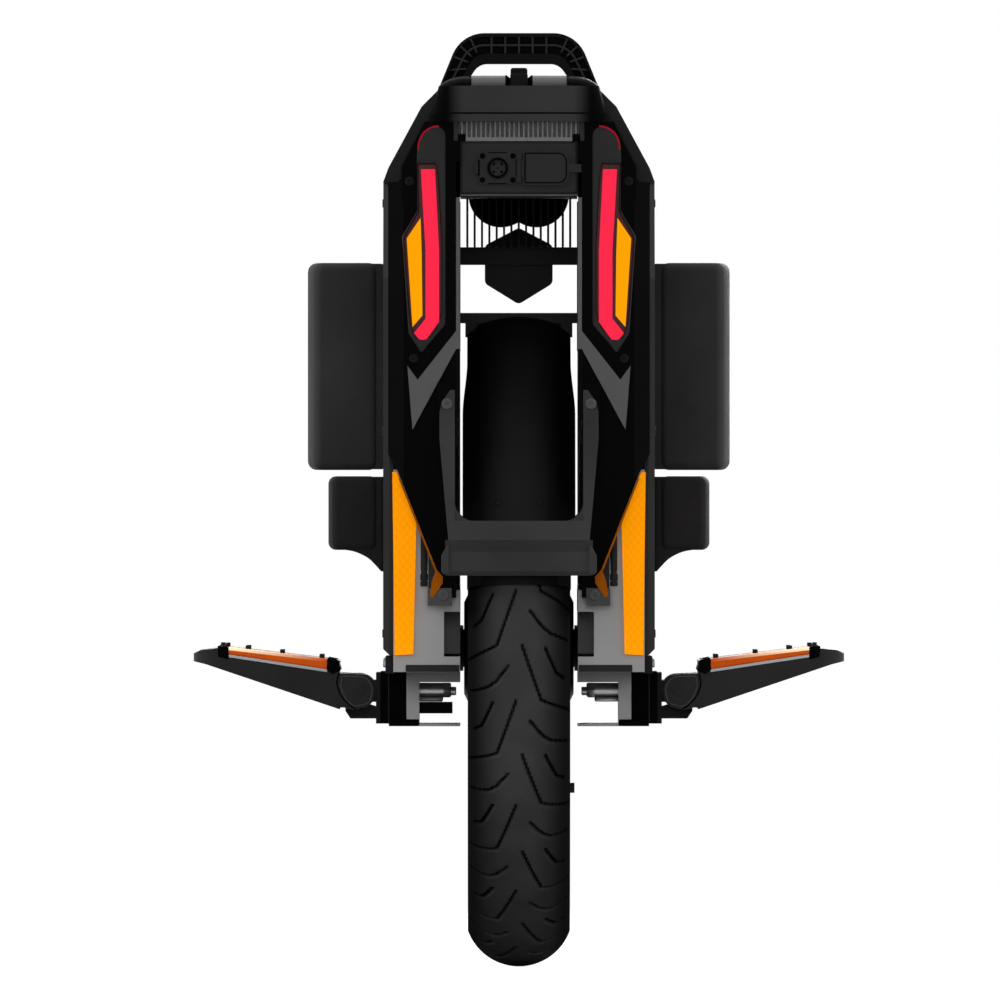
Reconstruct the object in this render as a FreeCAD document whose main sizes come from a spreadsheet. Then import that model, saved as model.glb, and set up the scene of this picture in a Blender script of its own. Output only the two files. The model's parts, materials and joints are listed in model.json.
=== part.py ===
import FreeCAD, Part
import math
import os
import re

import Sketcher

# Electric unicycle with a sliding suspension, a folding pair of pedals and a telescopic trolley bar.
# Millimetres, +Z up, +Y forward, +X to the right. The origin is on the ground under the axle.

DIMENSIONS = {
    # wheel
    "tyre_radius": 250, "tyre_half_width": 40, "crown_drop": 28, "tread_depth": 12, "tyre_height": 70,
    "frame_inset": 52, "deck_clear": 163, "bead_half_width": 27, "bead_width": 12, "flange_height": 9,
    "flange_width": 5, "rim_depth": 25, "rim_well_drop": 6, "sidewall_rise": 23, "sidewall_tuck": 1,
    "cover_margin": 10, "cover_face": 37, "boss_face": 43, "boss_radius": 36, "cover_cone": 8,
    "cover_inner_face": 31, "cover_lip": 1, "cover_rim_drop": 4, "bearing_radius": 26, "bearing_length": 11,
    "bearing_play": 0.05, "axle_radius": 8, "axle_seat_radius": 15, "axle_collar_radius": 18,
    "axle_hub_radius": 22, "axle_half_length": 67, "collar_gap": 0.5, "stator_half_width": 22,
    "air_gap": 1.5, "valve_radius": 4, "valve_length": 6.5, "valve_back": 102, "valve_inset": 61,
    # sliding carriage
    "slider_inner": 46, "slider_outer": 62, "slider_length": 112, "slider_boss_half": 20,
    "slider_boss_drop": 22, "slider_shoulder": 85, "upright_thick": 4.5, "upright_half": 24, "damper_x": 66,
    "damper_rod_radius": 6, "damper_radius": 14, "rod_length": 205, "damper_cap": 5, "running_play": 0.05,
    "lug_half": 11, "lug_drop": 16, "guide_radius": 6, "guide_y": 70, "bush_radius": 7.5, "bush_inset": 2,
    "bridge_thick": 8, "bridge_rise": 2, "bridge_half": 24, "ear_inner": 33, "ear_outer": 42,
    "ear_drop": 11, "guard_gap": 11, "guard_bow": 6, "guard_edge_x": 30, "guard_half_width": 40.5,
    "guard_turn": 8, "guard_skirt": 11, "guard_thick": 2.5, "guard_angle": 78.7, "nut_radius": 13,
    "nut_height": 5, "nut_sides": 6,
    # side frames and shells
    "frame_inner": 64, "frame_outer": 70, "frame_slant": 46, "slot_half": 22, "ledge_near": 28,
    "ledge_far": 85, "battery_gap": 20, "battery_edge": 6, "cover_inner": 98, "cover_outer": 106,
    "cover_bevel": 5, "panel_depth": 2, "panel_corner": 8, "lower_gap": 0.5, "nose_room": 1,
    "axle_room": 32, "axle_room_x": 84, "window_outer": 58.5, "post_inner": 70.5, "post_length": 18,
    "shoulder_over": 7, "deck_half": 62, "shoulder_thick": 12, "shoulder_edge": 102, "shoulder_bend": 76,
    # rear and front ends
    "fairing_depth": 28, "rail_inner": 46, "rail_thick": 3, "fairing_outer": 102, "fairing_bevel": 12,
    "fairing_foot": 111.7, "fairing_head": 47.1, "lamp_depth": 8, "lens_drop": 1, "lamp_x": 60.5,
    "lamp_wide": 29.5, "lamp_high": 138, "chevron_wide": 38, "chevron_high": 77, "yoke_half": 57.5,
    "yoke_reach": 36, "yoke_gap": 12, "arm_inner": 50, "arm_outer": 62, "arm_thick": 8, "arm_toe": 55,
    "overrun": 1, "yoke_bevel": 7, "yoke_corner": 15, "yoke_step": 5.5, "yoke_edge": 3.5,
    "reflector_thick": 4, "reflector_x": 80, "reflector_wide": 18.8, "reflector_high": 143,
    "marker_thick": 2, "marker_x": 59, "marker_wide": 35, "marker_high": 99,
    # top
    "box_half": 46, "box_front": 36, "box_edge": 2, "sink_base": 3, "sink_half": 46, "sink_ear": 51,
    "sink_front": 60, "sink_pitch": 3.7, "sink_fin": 1.3, "tail_lip_half": 70,
    "tail_foot_half": 68.5, "tail_top_half": 62.5, "tail_round": 20, "tail_step": 1, "sink_wall_thick": 3,
    "tower_half": 40, "tower_deep": 30, "handle_half": 63, "handle_corner_half": 45,
    "handle_corner_radius": 27, "handle_gap_half": 45, "handle_gap_corner": 31, "handle_gap_radius": 12,
    "handle_wall": 3, "handle_lip": 8, "handle_web": 10, "rib_pitch": 10.7, "rib_thick": 1.6,
    "rib_count": 5, "spoke_x": 27.7, "hand_half": 38, "trolley_x": 52, "trolley_rod_radius": 4,
    "sleeve_radius": 5.5, "trolley_bar_half": 59, "trolley_bar_deep": 8, "trolley_shoulder": 38.5,
    "grip_radius": 4.9, "grip_core": 3.2, "grip_inner": 10.5, "grip_outer": 37.5, "clip_half": 7,
    "clip_deep": 6, "thumb_half": 6, "thumb_deep": 5, "thumb_root": 6, "thumb_gap": 0.4, "power_radius": 9,
    "power_y": 60, "power_root": 5, "power_gap": 0.4, "power_pit": 11,
    # charging
    "socket_x": -16.6, "flange_wide": 28.7, "flange_high": 24.9, "flange_thick": 3, "socket_radius": 8,
    "socket_bore": 6.2, "socket_proud": 3, "contact_radius": 1, "contact_ring": 3.1, "contact_length": 2,
    "hinge_pin": 1, "knuckle": 2, "lid_start": 3, "lid_end": 39, "lid_thick": 3, "lid_gap": 0.6,
    "lid_corner": 8, "tab_start": 38, "tab_end": 48.6, "lug_half_width": 1.8,
    # front
    "fin_pitch": 5.8, "fin_thick": 1.7, "fin_margin": 4, "cowl_half": 39.5, "cowl_lobe": 21.7,
    "cowl_corner": 21, "hex_half": 26.8, "hex_corner": 5, "headlens_thick": 4, "headlens_inset": 4,
    # pedals
    "pivot_x": 125, "pivot_radius": 5, "hinge_radius": 13.5, "pedal_half": 100, "hinge_half": 47.5,
    "hinge_gap": 0.5, "hanger_half": 62, "hanger_inner": 88, "hanger_outer": 102, "stop_outer": 136,
    "stop_thick": 4, "lug_low": 9, "lug_high": 8, "lug_plate": 10, "lug_rise": 14, "pedal_root": 140.5,
    "pedal_tip": 254.7, "tip_bevel": 5, "pedal_corner": 22, "pedal_peak": 228, "stud_radius": 1.75,
    "stud_high": 3, "stud_sink": 2, "inlay_start": 150, "inlay_end": 226, "inlay_high": 8,
    "inlay_tip_high": 5.5, "inlay_proud": 1, "inlay_rise": 0.4, "stud_margin": 14, "bracket_inner": 46,
    "bracket_leg": 78, "bracket_near": 36, "bracket_far": 76, "bolt_radius": 6.5, "bolt_inner": 49,
    "bolt_y": 56, "bolt_sides": 6, "cable_half": 12, "cable_end": 52,
    # pads
    "knee_outer": 166, "calf_outer": 149, "pad_round": 6,
    "pad_bevel": 9, "knee_round": 14, "calf_toe": 32, "calf_bow": 11, "calf_bow_drop": 6.5,
    # visible screws
    "screw_radius": 3.6, "screw_high": 2.2,
}

# Places measured from the level or end that carries them, so that they follow when it moves.
PLACES = {
    "axle_z": {
        "slider_bottom": -9, "slider_top": 50, "slider_nose_low": -4, "slider_nose_high": 29,
        "damper_low": 145, "frame_low": 46, "ledge_low": 142, "ledge_high": 160, "battery_low": 50,
        "cover_low": -5, "lower_low": -18, "lower_floor": -10.5, "window_low": -6, "window_high": 29,
        "post_high": 140, "fairing_low": 40, "yoke_low": 57.3, "yoke_waist": 76, "yoke_ridge": 85,
        "yoke_high": 100, "reflector_z": -5, "marker_z": 41, "pivot_z": -33, "hanger_low": -59,
        "stop_low": -55, "stop_high": -49, "root_low": -47.6, "root_high": -9.4, "tip_low": -10,
        "tip_high": -1.4, "peak_high": 1, "bracket_bar_low": -26.5, "bracket_foot": -61, "bolt_z": -34.5,
        "cable_low": -51, "cable_high": -42, "knee_low": 139.5, "knee_high": 303, "calf_low": 77,
        "calf_high": 135, "calf_flare": 60,
    },
    "deck_low": {
        "damper_high": -74, "frame_high": -34, "battery_high": -76, "cover_high": -60, "deck_high": 13,
        "shoulder_edge_z": -49, "shoulder_bend_z": -1, "fairing_high": -13, "lamp_z": -188,
        "rail_low": -190, "rail_high": -72, "chevron_z": -253, "arm_foot": -249, "arm_top": -222,
        "box_low": -69.5, "box_high": -28, "sink_high": -13, "tail_lip_low": -13, "tail_lip_high": -7,
        "tail_high": 15, "bridge_block_high": -34, "block_low": -68, "handle_high": 57, "handle_grip_z": 33,
        "spoke_z": 30, "hand_floor": 3, "sleeve_low": -244, "rod_low": -238, "trolley_bar_high": 22,
        "trolley_slope": 15, "grip_z": 18.4, "clip_high": 25, "thumb_high": 29.5, "power_high": 15,
        "socket_z": -49, "hinge_low": -60, "hinge_high": -38, "knuckle_low": -55.5, "knuckle_high": -43,
        "lid_low": -62.5, "lid_high": -35.5, "tab_low": -52.4, "tab_high": -46, "radiator_top": -64,
        "radiator_low": -108, "fin_base": -70, "cowl_low": -91, "cowl_mid": -88, "bar_low": -122,
        "bar_high": -108, "hex_low": -153, "hex_high": -92.5, "hex_side_low": -136.5,
        "hex_side_high": -106.5,
    },
    "frame_half_length": {
        "trolley_y": -8, "box_back": 22, "tail_back": 38, "tail_front": 8, "sink_wall": 9,
        "sink_ear_front": 6, "hinge_y": 28.8, "deck_front": 34, "radiator_front": 7, "cowl_front": 34,
        "bar_back": 2, "bar_front": 14, "hex_front": 46, "calf_back": -23, "calf_front": -88,
        "knee_back": -138, "knee_front": -48,
        "radiator_back": -68, "handle_back": -48, "handle_front": -80, "hand_back": -36, "hand_front": -94,
    },
}

DERIVED = {
    "axle_z": "tyre_radius",
    "frame_half_length": "tyre_radius - frame_inset",
    "deck_low": "axle_z + guard_outer + deck_clear",
    "bead_radius": "tyre_radius - tyre_height",
    "rim_inner_radius": "bead_radius - rim_depth",
    "cover_radius": "bead_radius - cover_margin",
    "valve_drop": "cover_radius - valve_inset",
    "guard_outer": "tyre_radius + guard_gap",
    "guard_edge": "guard_outer - guard_bow",
    "guard_shoulder": "guard_edge - guard_turn",
    "guard_hem": "guard_shoulder - guard_skirt",
    "bridge_high": "axle_z + guard_outer + bridge_rise",
    "bridge_low": "bridge_high - bridge_thick",
    "battery_end": "frame_half_length - battery_gap",
    "shoulder_half_length": "frame_half_length + shoulder_over",
    "yoke_face": "tyre_radius + yoke_gap",
    "yoke_back": "tyre_radius + yoke_reach",
    "rim_half": "bead_half_width + flange_width",
    "stator_radius": "rim_inner_radius - air_gap",
    "guide_x": "(slider_inner + slider_outer) / 2",
    "fairing_back": "frame_half_length + fairing_depth",
    "rail_outer": "rail_inner + rail_thick",
    "sink_fins": "floor((2 * sink_half - sink_fin) / sink_pitch) + 1",
    "fin_count": "floor((2 * (box_half - fin_margin) - fin_thick) / fin_pitch) + 1",
    "pedal_slope": "(peak_high - root_high) / (pedal_peak - pedal_root)",
}

# Outlines in shares of the sizes that they follow, read across and up from a named corner.
BRAKE_SHARES = [(0.54, 1.0), (0.17, 1.0), (0.06, 0.543), (0.06, 0.138), (0.49, 0.012), (0.72, 0.075),
                (0.42, 0.156), (0.42, 0.55), (0.49, 0.797)]
INDICATOR_SHARES = [(0.55, 0.725), (0.915, 0.609), (0.763, 0.109), (0.5, 0.174), (0.52, 0.525)]
LAMP_SHARES = [(0.627, 1.03), (0.6, 0.761), (1.0, 0.616), (0.966, 0.525), (0.85, 0.181), (0.83, 0.076),
               (0.525, -0.02), (-0.02, 0.12), (-0.02, 0.572), (0.1, 1.03)]
CHEVRON_SHARES = [(0.0, 1.0), (0.789, 0.506), (1.0, 0.649), (0.895, 0.0), (0.0, 0.818)]
FAIRING_FOOT_SHARES = [(0.0, 0.0), (0.38, 0.0), (0.3, 0.213), (0.85, 0.874), (1.0, 1.0)]
FAIRING_CAP_SHARES = [(0.8, -0.3), (0.8, 0.257), (0.464, 1.0), (0.2, 1.0), (0.2, -0.3)]
FAIRING_HEAD_SHARES = [(1.0, 0.0), (0.84, 0.0), (0.755, 0.102), (0.32, 1.0), (0.05, 1.0), (0.05, 0.669),
                       (-0.05, 0.669), (-0.05, 0.346), (0.0, 0.346)]
SIDE_SHARES = [(-0.45, 0.0), (0.45, 0.0), (0.82, 0.16), (1.0, 0.39), (1.0, 0.8), (0.76, 1.0), (-0.76, 1.0),
               (-1.0, 0.8), (-1.0, 0.0), (-0.85, 0.0)]
PANEL_SHARES = [(-0.42, 0.06), (0.36, 0.06), (0.22, 0.3), (0.22, 0.86), (0.12, 0.94), (-0.7, 0.94),
                (-0.86, 0.78),
                (-0.86, 0.46), (-0.42, 0.4)]
REFLECTOR_SHARES = [(1.0, 1.0), (0.81, 1.0), (0.0, 0.74), (0.13, 0.007), (0.9, 0.0)]
MARKER_SHARES = [(1.0, 0.93), (0.968, 0.93), (0.145, 0.21), (0.01, 0.157), (0.01, 0.106), (0.234, -0.01),
                 (0.297, 0.004), (0.257, 0.121), (0.178, 0.196)]
RIB_TURNS = [66, 43, 20, -4]
LEG_TURN = 23
STUD_SHARES = [(0.0, 0.35), (0.0, 0.85), (0.36, 0.55), (0.67, 0.9), (0.67, 0.3), (0.86, 0.75), (0.9, 0.2)]
BOW_SHARE = 0.2929
SCREW_SHARES = [(0.84, 0.932), (0.73, -0.069)]

for datum, places in PLACES.items():
    for name, away in places.items():
        DIMENSIONS[f"{name}_away"] = away
        DERIVED[name] = f"{datum} + {name}_away"

document = FreeCAD.newDocument("unicycle")
sheet = document.addObject("Spreadsheet::Sheet", "Dims")
for row, (name, value) in enumerate(DIMENSIONS.items(), 1):
    sheet.set(f"A{row}", name)
    sheet.set(f"B{row}", str(value))
    sheet.setAlias(f"B{row}", name)
document.recompute()

nodes = {}
TOUCH = 1e-4


def formula(text):
    """Spell a size out for the expression engine: short names become sheet cells."""
    def spell(found):
        name = found.group(0)
        if name in DERIVED:
            return "(" + formula(DERIVED[name]) + ")"
        return "Dims." + name if name in DIMENSIONS else name
    return re.sub(r"[a-z_]+[a-z0-9_]*", spell, str(text))


def size(text):
    return float(sheet.evalExpression(formula(text)))


def bind(thing, path, text):
    thing.setExpression(path, formula(text))


def place(thing, x, y, z):
    for axis, text in zip("xyz", (x, y, z)):
        bind(thing, f"Placement.Base.{axis}", text)


def keep(label, thing):
    thing.Label = label
    nodes[label] = thing
    return thing


def new_body(label):
    return document.addObject("PartDesign::Body", label)


def spread(shares, x, wide, z, high, side=1):
    """Points of an outline from its table of shares."""
    return [(f"{side} * ({x} + {a} * {wide})", f"{z} + {b} * {high}") for a, b in shares]


def draw(body, plane, offset, outlines, shift="0"):
    """Draw closed outlines on an origin plane; a point is (x, y),
    (x, y, corner radius) or ("via", x, y)."""
    sketch = body.newObject("Sketcher::SketchObject", "Sketch")
    support = next(f for f in body.Origin.OriginFeatures if f.Role == plane + "_Plane")
    sketch.AttachmentSupport = [(support, "")]
    sketch.MapMode = "FlatFace"
    bind(sketch, "AttachmentOffset.Base.z", offset)
    bind(sketch, "AttachmentOffset.Base.y", shift)
    for outline in outlines:
        if outline[0] == "circle":
            draw_circle(sketch, *outline[1:])
        else:
            draw_loop(sketch, outline)
    document.recompute()
    return sketch


def pin(sketch, geometry, point, x, y):
    for kind, text in (("DistanceX", x), ("DistanceY", y)):
        index = sketch.addConstraint(Sketcher.Constraint(kind, -1, 1, geometry, point, size(text)))
        bind(sketch, f"Constraints[{index}]", text)


def draw_circle(sketch, x, y, radius):
    middle = FreeCAD.Vector(size(x), size(y), 0)
    circle = sketch.addGeometry(Part.Circle(middle, FreeCAD.Vector(0, 0, 1), size(radius)), False)
    pin(sketch, circle, 3, x, y)
    index = sketch.addConstraint(Sketcher.Constraint("Radius", circle, size(radius)))
    bind(sketch, f"Constraints[{index}]", radius)


def add_arc(sketch, start, middle, end):
    """Add an arc, which a sketch keeps anticlockwise, and say which of its ends is the start."""
    if (middle - start).cross(end - middle).z < 0:
        return sketch.addGeometry(Part.Arc(end, middle, start), False), 2
    return sketch.addGeometry(Part.Arc(start, middle, end), False), 1


def draw_loop(sketch, outline):
    corners = [p for p in outline if p[0] != "via"]
    spots = [FreeCAD.Vector(size(p[0]), size(p[1]), 0) for p in corners]
    vias = {}
    for index, point in enumerate(outline):
        if point[0] == "via":
            before = len([p for p in outline[:index] if p[0] != "via"]) - 1
            vias[before] = point
    count = len(corners)
    cuts = []
    for i, corner in enumerate(corners):
        back = (spots[i - 1] - spots[i]).normalize()
        ahead = (spots[(i + 1) % count] - spots[i]).normalize()
        reach = 0
        if len(corner) == 3:
            reach = size(corner[2]) / math.tan(back.getAngle(ahead) / 2)
        cuts.append((spots[i] + back * reach, spots[i] + ahead * reach, back, ahead))
    edges = []
    for i in range(count):
        start, end = cuts[i][1], cuts[(i + 1) % count][0]
        if i in vias:
            middle = FreeCAD.Vector(size(vias[i][1]), size(vias[i][2]), 0)
            edge, first = add_arc(sketch, start, middle, end)
            mark = sketch.addGeometry(Part.Point(middle), True)
            pin(sketch, mark, 1, vias[i][1], vias[i][2])
            sketch.addConstraint(Sketcher.Constraint("PointOnObject", mark, 1, edge))
        else:
            edge = sketch.addGeometry(Part.LineSegment(start, end), False)
            first = 1
        edges.append((edge, first, 3 - first))
    for i, corner in enumerate(corners):
        before, after = edges[i - 1], edges[i]
        if len(corner) < 3:
            sketch.addConstraint(Sketcher.Constraint("Coincident", before[0], before[2], after[0],
                                                     after[1]))
            pin(sketch, after[0], after[1], corner[0], corner[1])
            continue
        inward = (cuts[i][2] + cuts[i][3]).normalize()
        half = cuts[i][2].getAngle(cuts[i][3]) / 2
        middle = spots[i] + inward * (size(corner[2]) / math.sin(half) - size(corner[2]))
        arc, first = add_arc(sketch, cuts[i][0], middle, cuts[i][1])
        mark = sketch.addGeometry(Part.Point(spots[i]), True)
        pin(sketch, mark, 1, corner[0], corner[1])
        sketch.addConstraint(Sketcher.Constraint("PointOnObject", mark, 1, before[0]))
        sketch.addConstraint(Sketcher.Constraint("PointOnObject", mark, 1, after[0]))
        sketch.addConstraint(Sketcher.Constraint("Tangent", before[0], before[2], arc, first))
        sketch.addConstraint(Sketcher.Constraint("Tangent", arc, 3 - first, after[0], after[1]))
        index = sketch.addConstraint(Sketcher.Constraint("Radius", arc, size(corner[2])))
        bind(sketch, f"Constraints[{index}]", corner[2])


def volume(body):
    solid = [f for f in body.Group if f.isDerivedFrom("PartDesign::Feature")]
    return solid[-1].Shape.Volume if solid else 0


def finish(body, kind, name, sketch, length, grows):
    before = volume(body)
    feature = body.newObject(kind, name)
    feature.Profile = sketch
    if name == "Turn":
        feature.ReferenceAxis = (sketch, ["H_Axis"])
    if length:
        bind(feature, "Length", length)
    body.Tip = feature
    document.recompute()
    after = feature.Shape.Volume
    if feature.State and "Invalid" in feature.State:
        raise ValueError(f"{body.Name}: {feature.Name} failed")
    if (after > before) != grows:
        raise ValueError(f"{body.Name}: {feature.Name} went the wrong way")
    return feature


def pad(body, plane, low, high, outlines):
    """Grow outlines between two places along the axis across their plane."""
    start = f"-({high})" if plane == "XZ" else low
    sketch = draw(body, plane, start, outlines)
    return finish(body, "PartDesign::Pad", "Pad", sketch, f"({high}) - ({low})", True)


def pocket(body, plane, low, high, outlines):
    """Cut outlines away between two places along the axis across their plane."""
    start = f"-({low})" if plane == "XZ" else high
    sketch = draw(body, plane, start, outlines)
    return finish(body, "PartDesign::Pocket", "Pocket", sketch, f"({high}) - ({low})", False)


def spin(label, outlines, angle=None):
    """Turn an outline of (across, radius) points about the axle."""
    body = new_body(label)
    sketch = draw(body, "XZ", "0", outlines, "axle_z")
    feature = finish(body, "PartDesign::Revolution", "Turn", sketch, None, True)
    if angle:
        bind(feature, "Angle", angle)
        document.recompute()
    return body


def soften(body, kind, amount, choose):
    """Bevel or round the edges that choose picks by their end points."""
    base = body.Tip
    picked = []
    for number, edge in enumerate(base.Shape.Edges, 1):
        ends = [v.Point for v in edge.Vertexes]
        if choose(ends):
            picked.append(f"Edge{number}")
    feature = body.newObject("PartDesign::" + kind, kind)
    feature.Base = (base, picked)
    bind(feature, "Radius" if kind == "Fillet" else "Size", amount)
    body.Tip = feature
    document.recompute()
    if "Invalid" in feature.State or feature.Shape.isNull():
        raise ValueError(f"{body.Name}: {kind} failed")


def on(axis, text, also=None):
    """A chooser of edges that lie on the plane axis = text, and on a second one if it is given."""
    level = size(text)
    def choose(ends):
        there = all(abs(getattr(p, axis) - level) < TOUCH for p in ends)
        return there and (also is None or also(ends))
    return choose


def prism(label, plane, low, high, outline):
    body = new_body(label)
    pad(body, plane, low, high, [outline])
    return body


def rectangle(x0, x1, y0, y1):
    return [(x0, y0), (x1, y0), (x1, y1), (x0, y1)]


def rounded(x0, x1, y0, y1, radius):
    return [(x0, y0, radius), (x1, y0, radius), (x1, y1, radius), (x0, y1, radius)]


def mirror(label, source, across="x"):
    twin = document.addObject("Part::Mirroring", label)
    twin.Source = source
    twin.Normal = FreeCAD.Vector(across == "x", across == "y", 0)
    return twin


def both(label, source):
    """Keep a right-hand piece and its left-hand mirror as two nodes."""
    keep(label + "_right", source)
    keep(label + "_left", mirror(label + "_left", source))


def group(label, things):
    collected = document.addObject("Part::Compound", label)
    collected.Links = things
    return keep(label, collected)


def rod(label, radius, x, y, z, length, along="z"):
    """A round bar from a place along an axis."""
    bar = document.addObject("Part::Cylinder", label)
    bind(bar, "Radius", radius)
    bind(bar, "Height", length)
    turns = {"x": (FreeCAD.Vector(0, 1, 0), 90), "y": (FreeCAD.Vector(1, 0, 0), -90),
             "z": (FreeCAD.Vector(0, 0, 1), 0)}
    bar.Placement.Rotation = FreeCAD.Rotation(*turns[along])
    place(bar, x, y, z)
    return bar


def tube(label, outer, inner, x, y, z, length, along="z"):
    cut = document.addObject("Part::Cut", label)
    cut.Base = rod(label + "_outer", outer, x, y, z, length, along)
    cut.Tool = rod(label + "_inner", inner, x, y, z, length, along)
    return cut


def fuse(label, things):
    joined = document.addObject("Part::MultiFuse", label)
    joined.Shapes = things
    return joined


def around(signs_x=(1, -1), signs_y=(1, -1)):
    return [(a, b) for a in signs_x for b in signs_y]


def build_wheel():
    crown = "tyre_radius - crown_drop"
    keep("tyre", spin("tyre", [[
        ("-bead_half_width", "bead_radius"), ("-bead_half_width", "bead_radius + flange_height"),
        ("via", "sidewall_tuck - tyre_half_width", "bead_radius + sidewall_rise"),
        ("-tyre_half_width", crown), ("via", "0", "tyre_radius"), ("tyre_half_width", crown),
        ("via", "tyre_half_width - sidewall_tuck", "bead_radius + sidewall_rise"),
        ("bead_half_width", "bead_radius + flange_height"), ("bead_half_width", "bead_radius"),
        ("bead_half_width - bead_width", "bead_radius"), ("via", "0", "tyre_radius - tread_depth"),
        ("bead_width - bead_half_width", "bead_radius")]]))
    half = [("bead_half_width", "bead_radius"), ("bead_half_width", "bead_radius + flange_height"),
            ("rim_half", "bead_radius + flange_height"), ("rim_half", "rim_inner_radius")]
    other = [(f"-({x})", r) for x, r in reversed(half)]
    well = [("-bead_half_width / 2", "bead_radius - rim_well_drop"),
            ("bead_half_width / 2", "bead_radius - rim_well_drop")]
    keep("wheel_rim", spin("wheel_rim", [half + other + well]))
    face = [("rim_half", "cover_radius"), ("cover_face", "cover_radius - cover_rim_drop"),
            ("cover_face", "boss_radius + 3 * cover_cone"),
            ("cover_face + 2 * cover_lip", "boss_radius + cover_cone"),
            ("boss_face", "boss_radius"), ("boss_face", "bearing_radius - cover_rim_drop"),
            ("cover_inner_face + bearing_length", "bearing_radius - cover_rim_drop"),
            ("cover_inner_face + bearing_length", "bearing_radius"), ("cover_inner_face", "bearing_radius"),
            ("cover_inner_face", "boss_radius + cover_cone"), ("rim_half", "boss_radius + 3 * cover_cone")]
    cover = spin("motor_cover", [face])
    group("motor_covers", [cover, mirror("motor_cover_left", cover)])
    bore = "axle_seat_radius + bearing_play"
    group("wheel_bearings", [
        spin("bearing_right", [rectangle("cover_inner_face", "cover_inner_face + bearing_length",
                                         bore, "bearing_radius")]),
        spin("bearing_left", [rectangle("-cover_inner_face - bearing_length", "-cover_inner_face",
                                        bore, "bearing_radius")])])
    keep("tyre_valve", rod("tyre_valve", "valve_radius", "cover_face", "-valve_back", "axle_z - valve_drop",
                           "valve_length", "x"))


def build_carriage():
    collar = "boss_face + collar_gap"
    half = [("axle_half_length", "0"), ("axle_half_length", "axle_radius"), ("slider_inner", "axle_radius"),
            ("slider_inner", "axle_collar_radius"), (collar, "axle_collar_radius"),
            (collar, "axle_seat_radius"), ("stator_half_width", "axle_seat_radius"),
            ("stator_half_width", "axle_hub_radius")]
    other = [(f"-({x})", r) for x, r in reversed(half)]
    keep("axle", spin("axle", [half + other]))
    keep("motor_stator", spin("motor_stator", [rectangle("-stator_half_width", "stator_half_width",
                                                         "axle_hub_radius", "stator_radius")]))
    right = [("slider_length", "slider_nose_low"), ("slider_length", "slider_nose_high"),
             ("slider_shoulder", "slider_top")]
    low = [("-slider_shoulder", "slider_bottom"), ("-axle_room + lower_gap * 2", "slider_bottom"),
           ("-slider_boss_half", "axle_z - slider_boss_drop"),
           ("slider_boss_half", "axle_z - slider_boss_drop"),
           ("axle_room - lower_gap * 2", "slider_bottom"), ("slider_shoulder", "slider_bottom")]
    left = [(f"-{y}", z) for y, z in reversed(right)]
    slider = prism("slider_right", "YZ", "slider_inner", "slider_outer", low + right + left)
    pad(slider, "YZ", "slider_inner", "slider_inner + upright_thick",
        [rectangle("-upright_half", "upright_half", "slider_top - lug_drop", "bridge_high")])
    pad(slider, "YZ", "slider_inner + upright_thick", "damper_x + damper_rod_radius",
        [rectangle("-lug_half", "lug_half", "slider_top - lug_drop", "slider_top")])
    pocket(slider, "YZ", "slider_inner", "slider_outer", [("circle", "0", "axle_z", "axle_radius")])
    pocket(slider, "XY", "slider_bottom", "slider_top",
           [("circle", "guide_x", f"{sign} * guide_y", "bush_radius") for sign in (1, -1)])
    both("slider", slider)
    bushes = []
    for a, b in around():
        bushes.append(tube("bush", "bush_radius", "guide_radius + running_play", f"{a} * guide_x",
                           f"{b} * guide_y",
                           "slider_bottom + bush_inset", "slider_top - slider_bottom - 2 * bush_inset"))
    group("slider_bushes", bushes)
    bridge = prism("fork_bridge", "YZ", "-slider_inner", "slider_inner",
                   rectangle("-bridge_half", "bridge_half", "bridge_low", "bridge_high"))
    for sign in (1, -1):
        low, high = sorted((f"{sign} * ear_inner", f"{sign} * ear_outer"), key=size)
        pad(bridge, "YZ", low, high, [rectangle("-bridge_half", "bridge_half", "bridge_low - ear_drop",
                                                "bridge_low")])
    keep("fork_bridge", bridge)
    t = "guard_thick"
    guard = spin("mudguard", [[
        ("-guard_half_width", "guard_hem"), ("-guard_half_width", "guard_shoulder"),
        ("-guard_edge_x", "guard_edge"),
        ("via", "0", "guard_outer"), ("guard_edge_x", "guard_edge"), ("guard_half_width", "guard_shoulder"),
        ("guard_half_width", "guard_hem"), (f"guard_half_width - {t}", "guard_hem"),
        (f"guard_half_width - {t}", f"guard_shoulder - {t}"), ("guard_edge_x", f"guard_edge - {t}"),
        ("via", "0", f"guard_outer - {t}"), ("-guard_edge_x", f"guard_edge - {t}"),
        (f"{t} - guard_half_width", f"guard_shoulder - {t}"), (f"{t} - guard_half_width",
                                                               "guard_hem")]], "guard_angle")
    pocket(guard, "XY", "axle_z", "axle_z + guard_outer + guard_thick",
           [rectangle("-guard_outer", "guard_outer", "-bridge_half", "bridge_half")])
    keep("mudguard", guard)
    nuts = []
    for sign in (1, -1):
        nut = document.addObject("Part::Prism", "nut")
        nut.Polygon = int(size("nut_sides"))
        bind(nut, "Circumradius", "nut_radius")
        bind(nut, "Height", "nut_height")
        nut.Placement.Rotation = FreeCAD.Rotation(FreeCAD.Vector(0, 1, 0), sign * 90)
        place(nut, f"{sign} * slider_outer", "0", "axle_z")
        ring = document.addObject("Part::Cut", "axle_nut")
        ring.Base = nut
        ring.Tool = rod("nut_bore", "axle_radius", "-axle_half_length", "0", "axle_z",
                        "2 * axle_half_length", "x")
        nuts.append(ring)
    group("axle_nuts", nuts)
    group("damper_rods", [rod("damper_rod", "damper_rod_radius", f"{sign} * damper_x", "0", "slider_top",
                              "rod_length")
                          for sign in (1, -1)])


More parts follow.
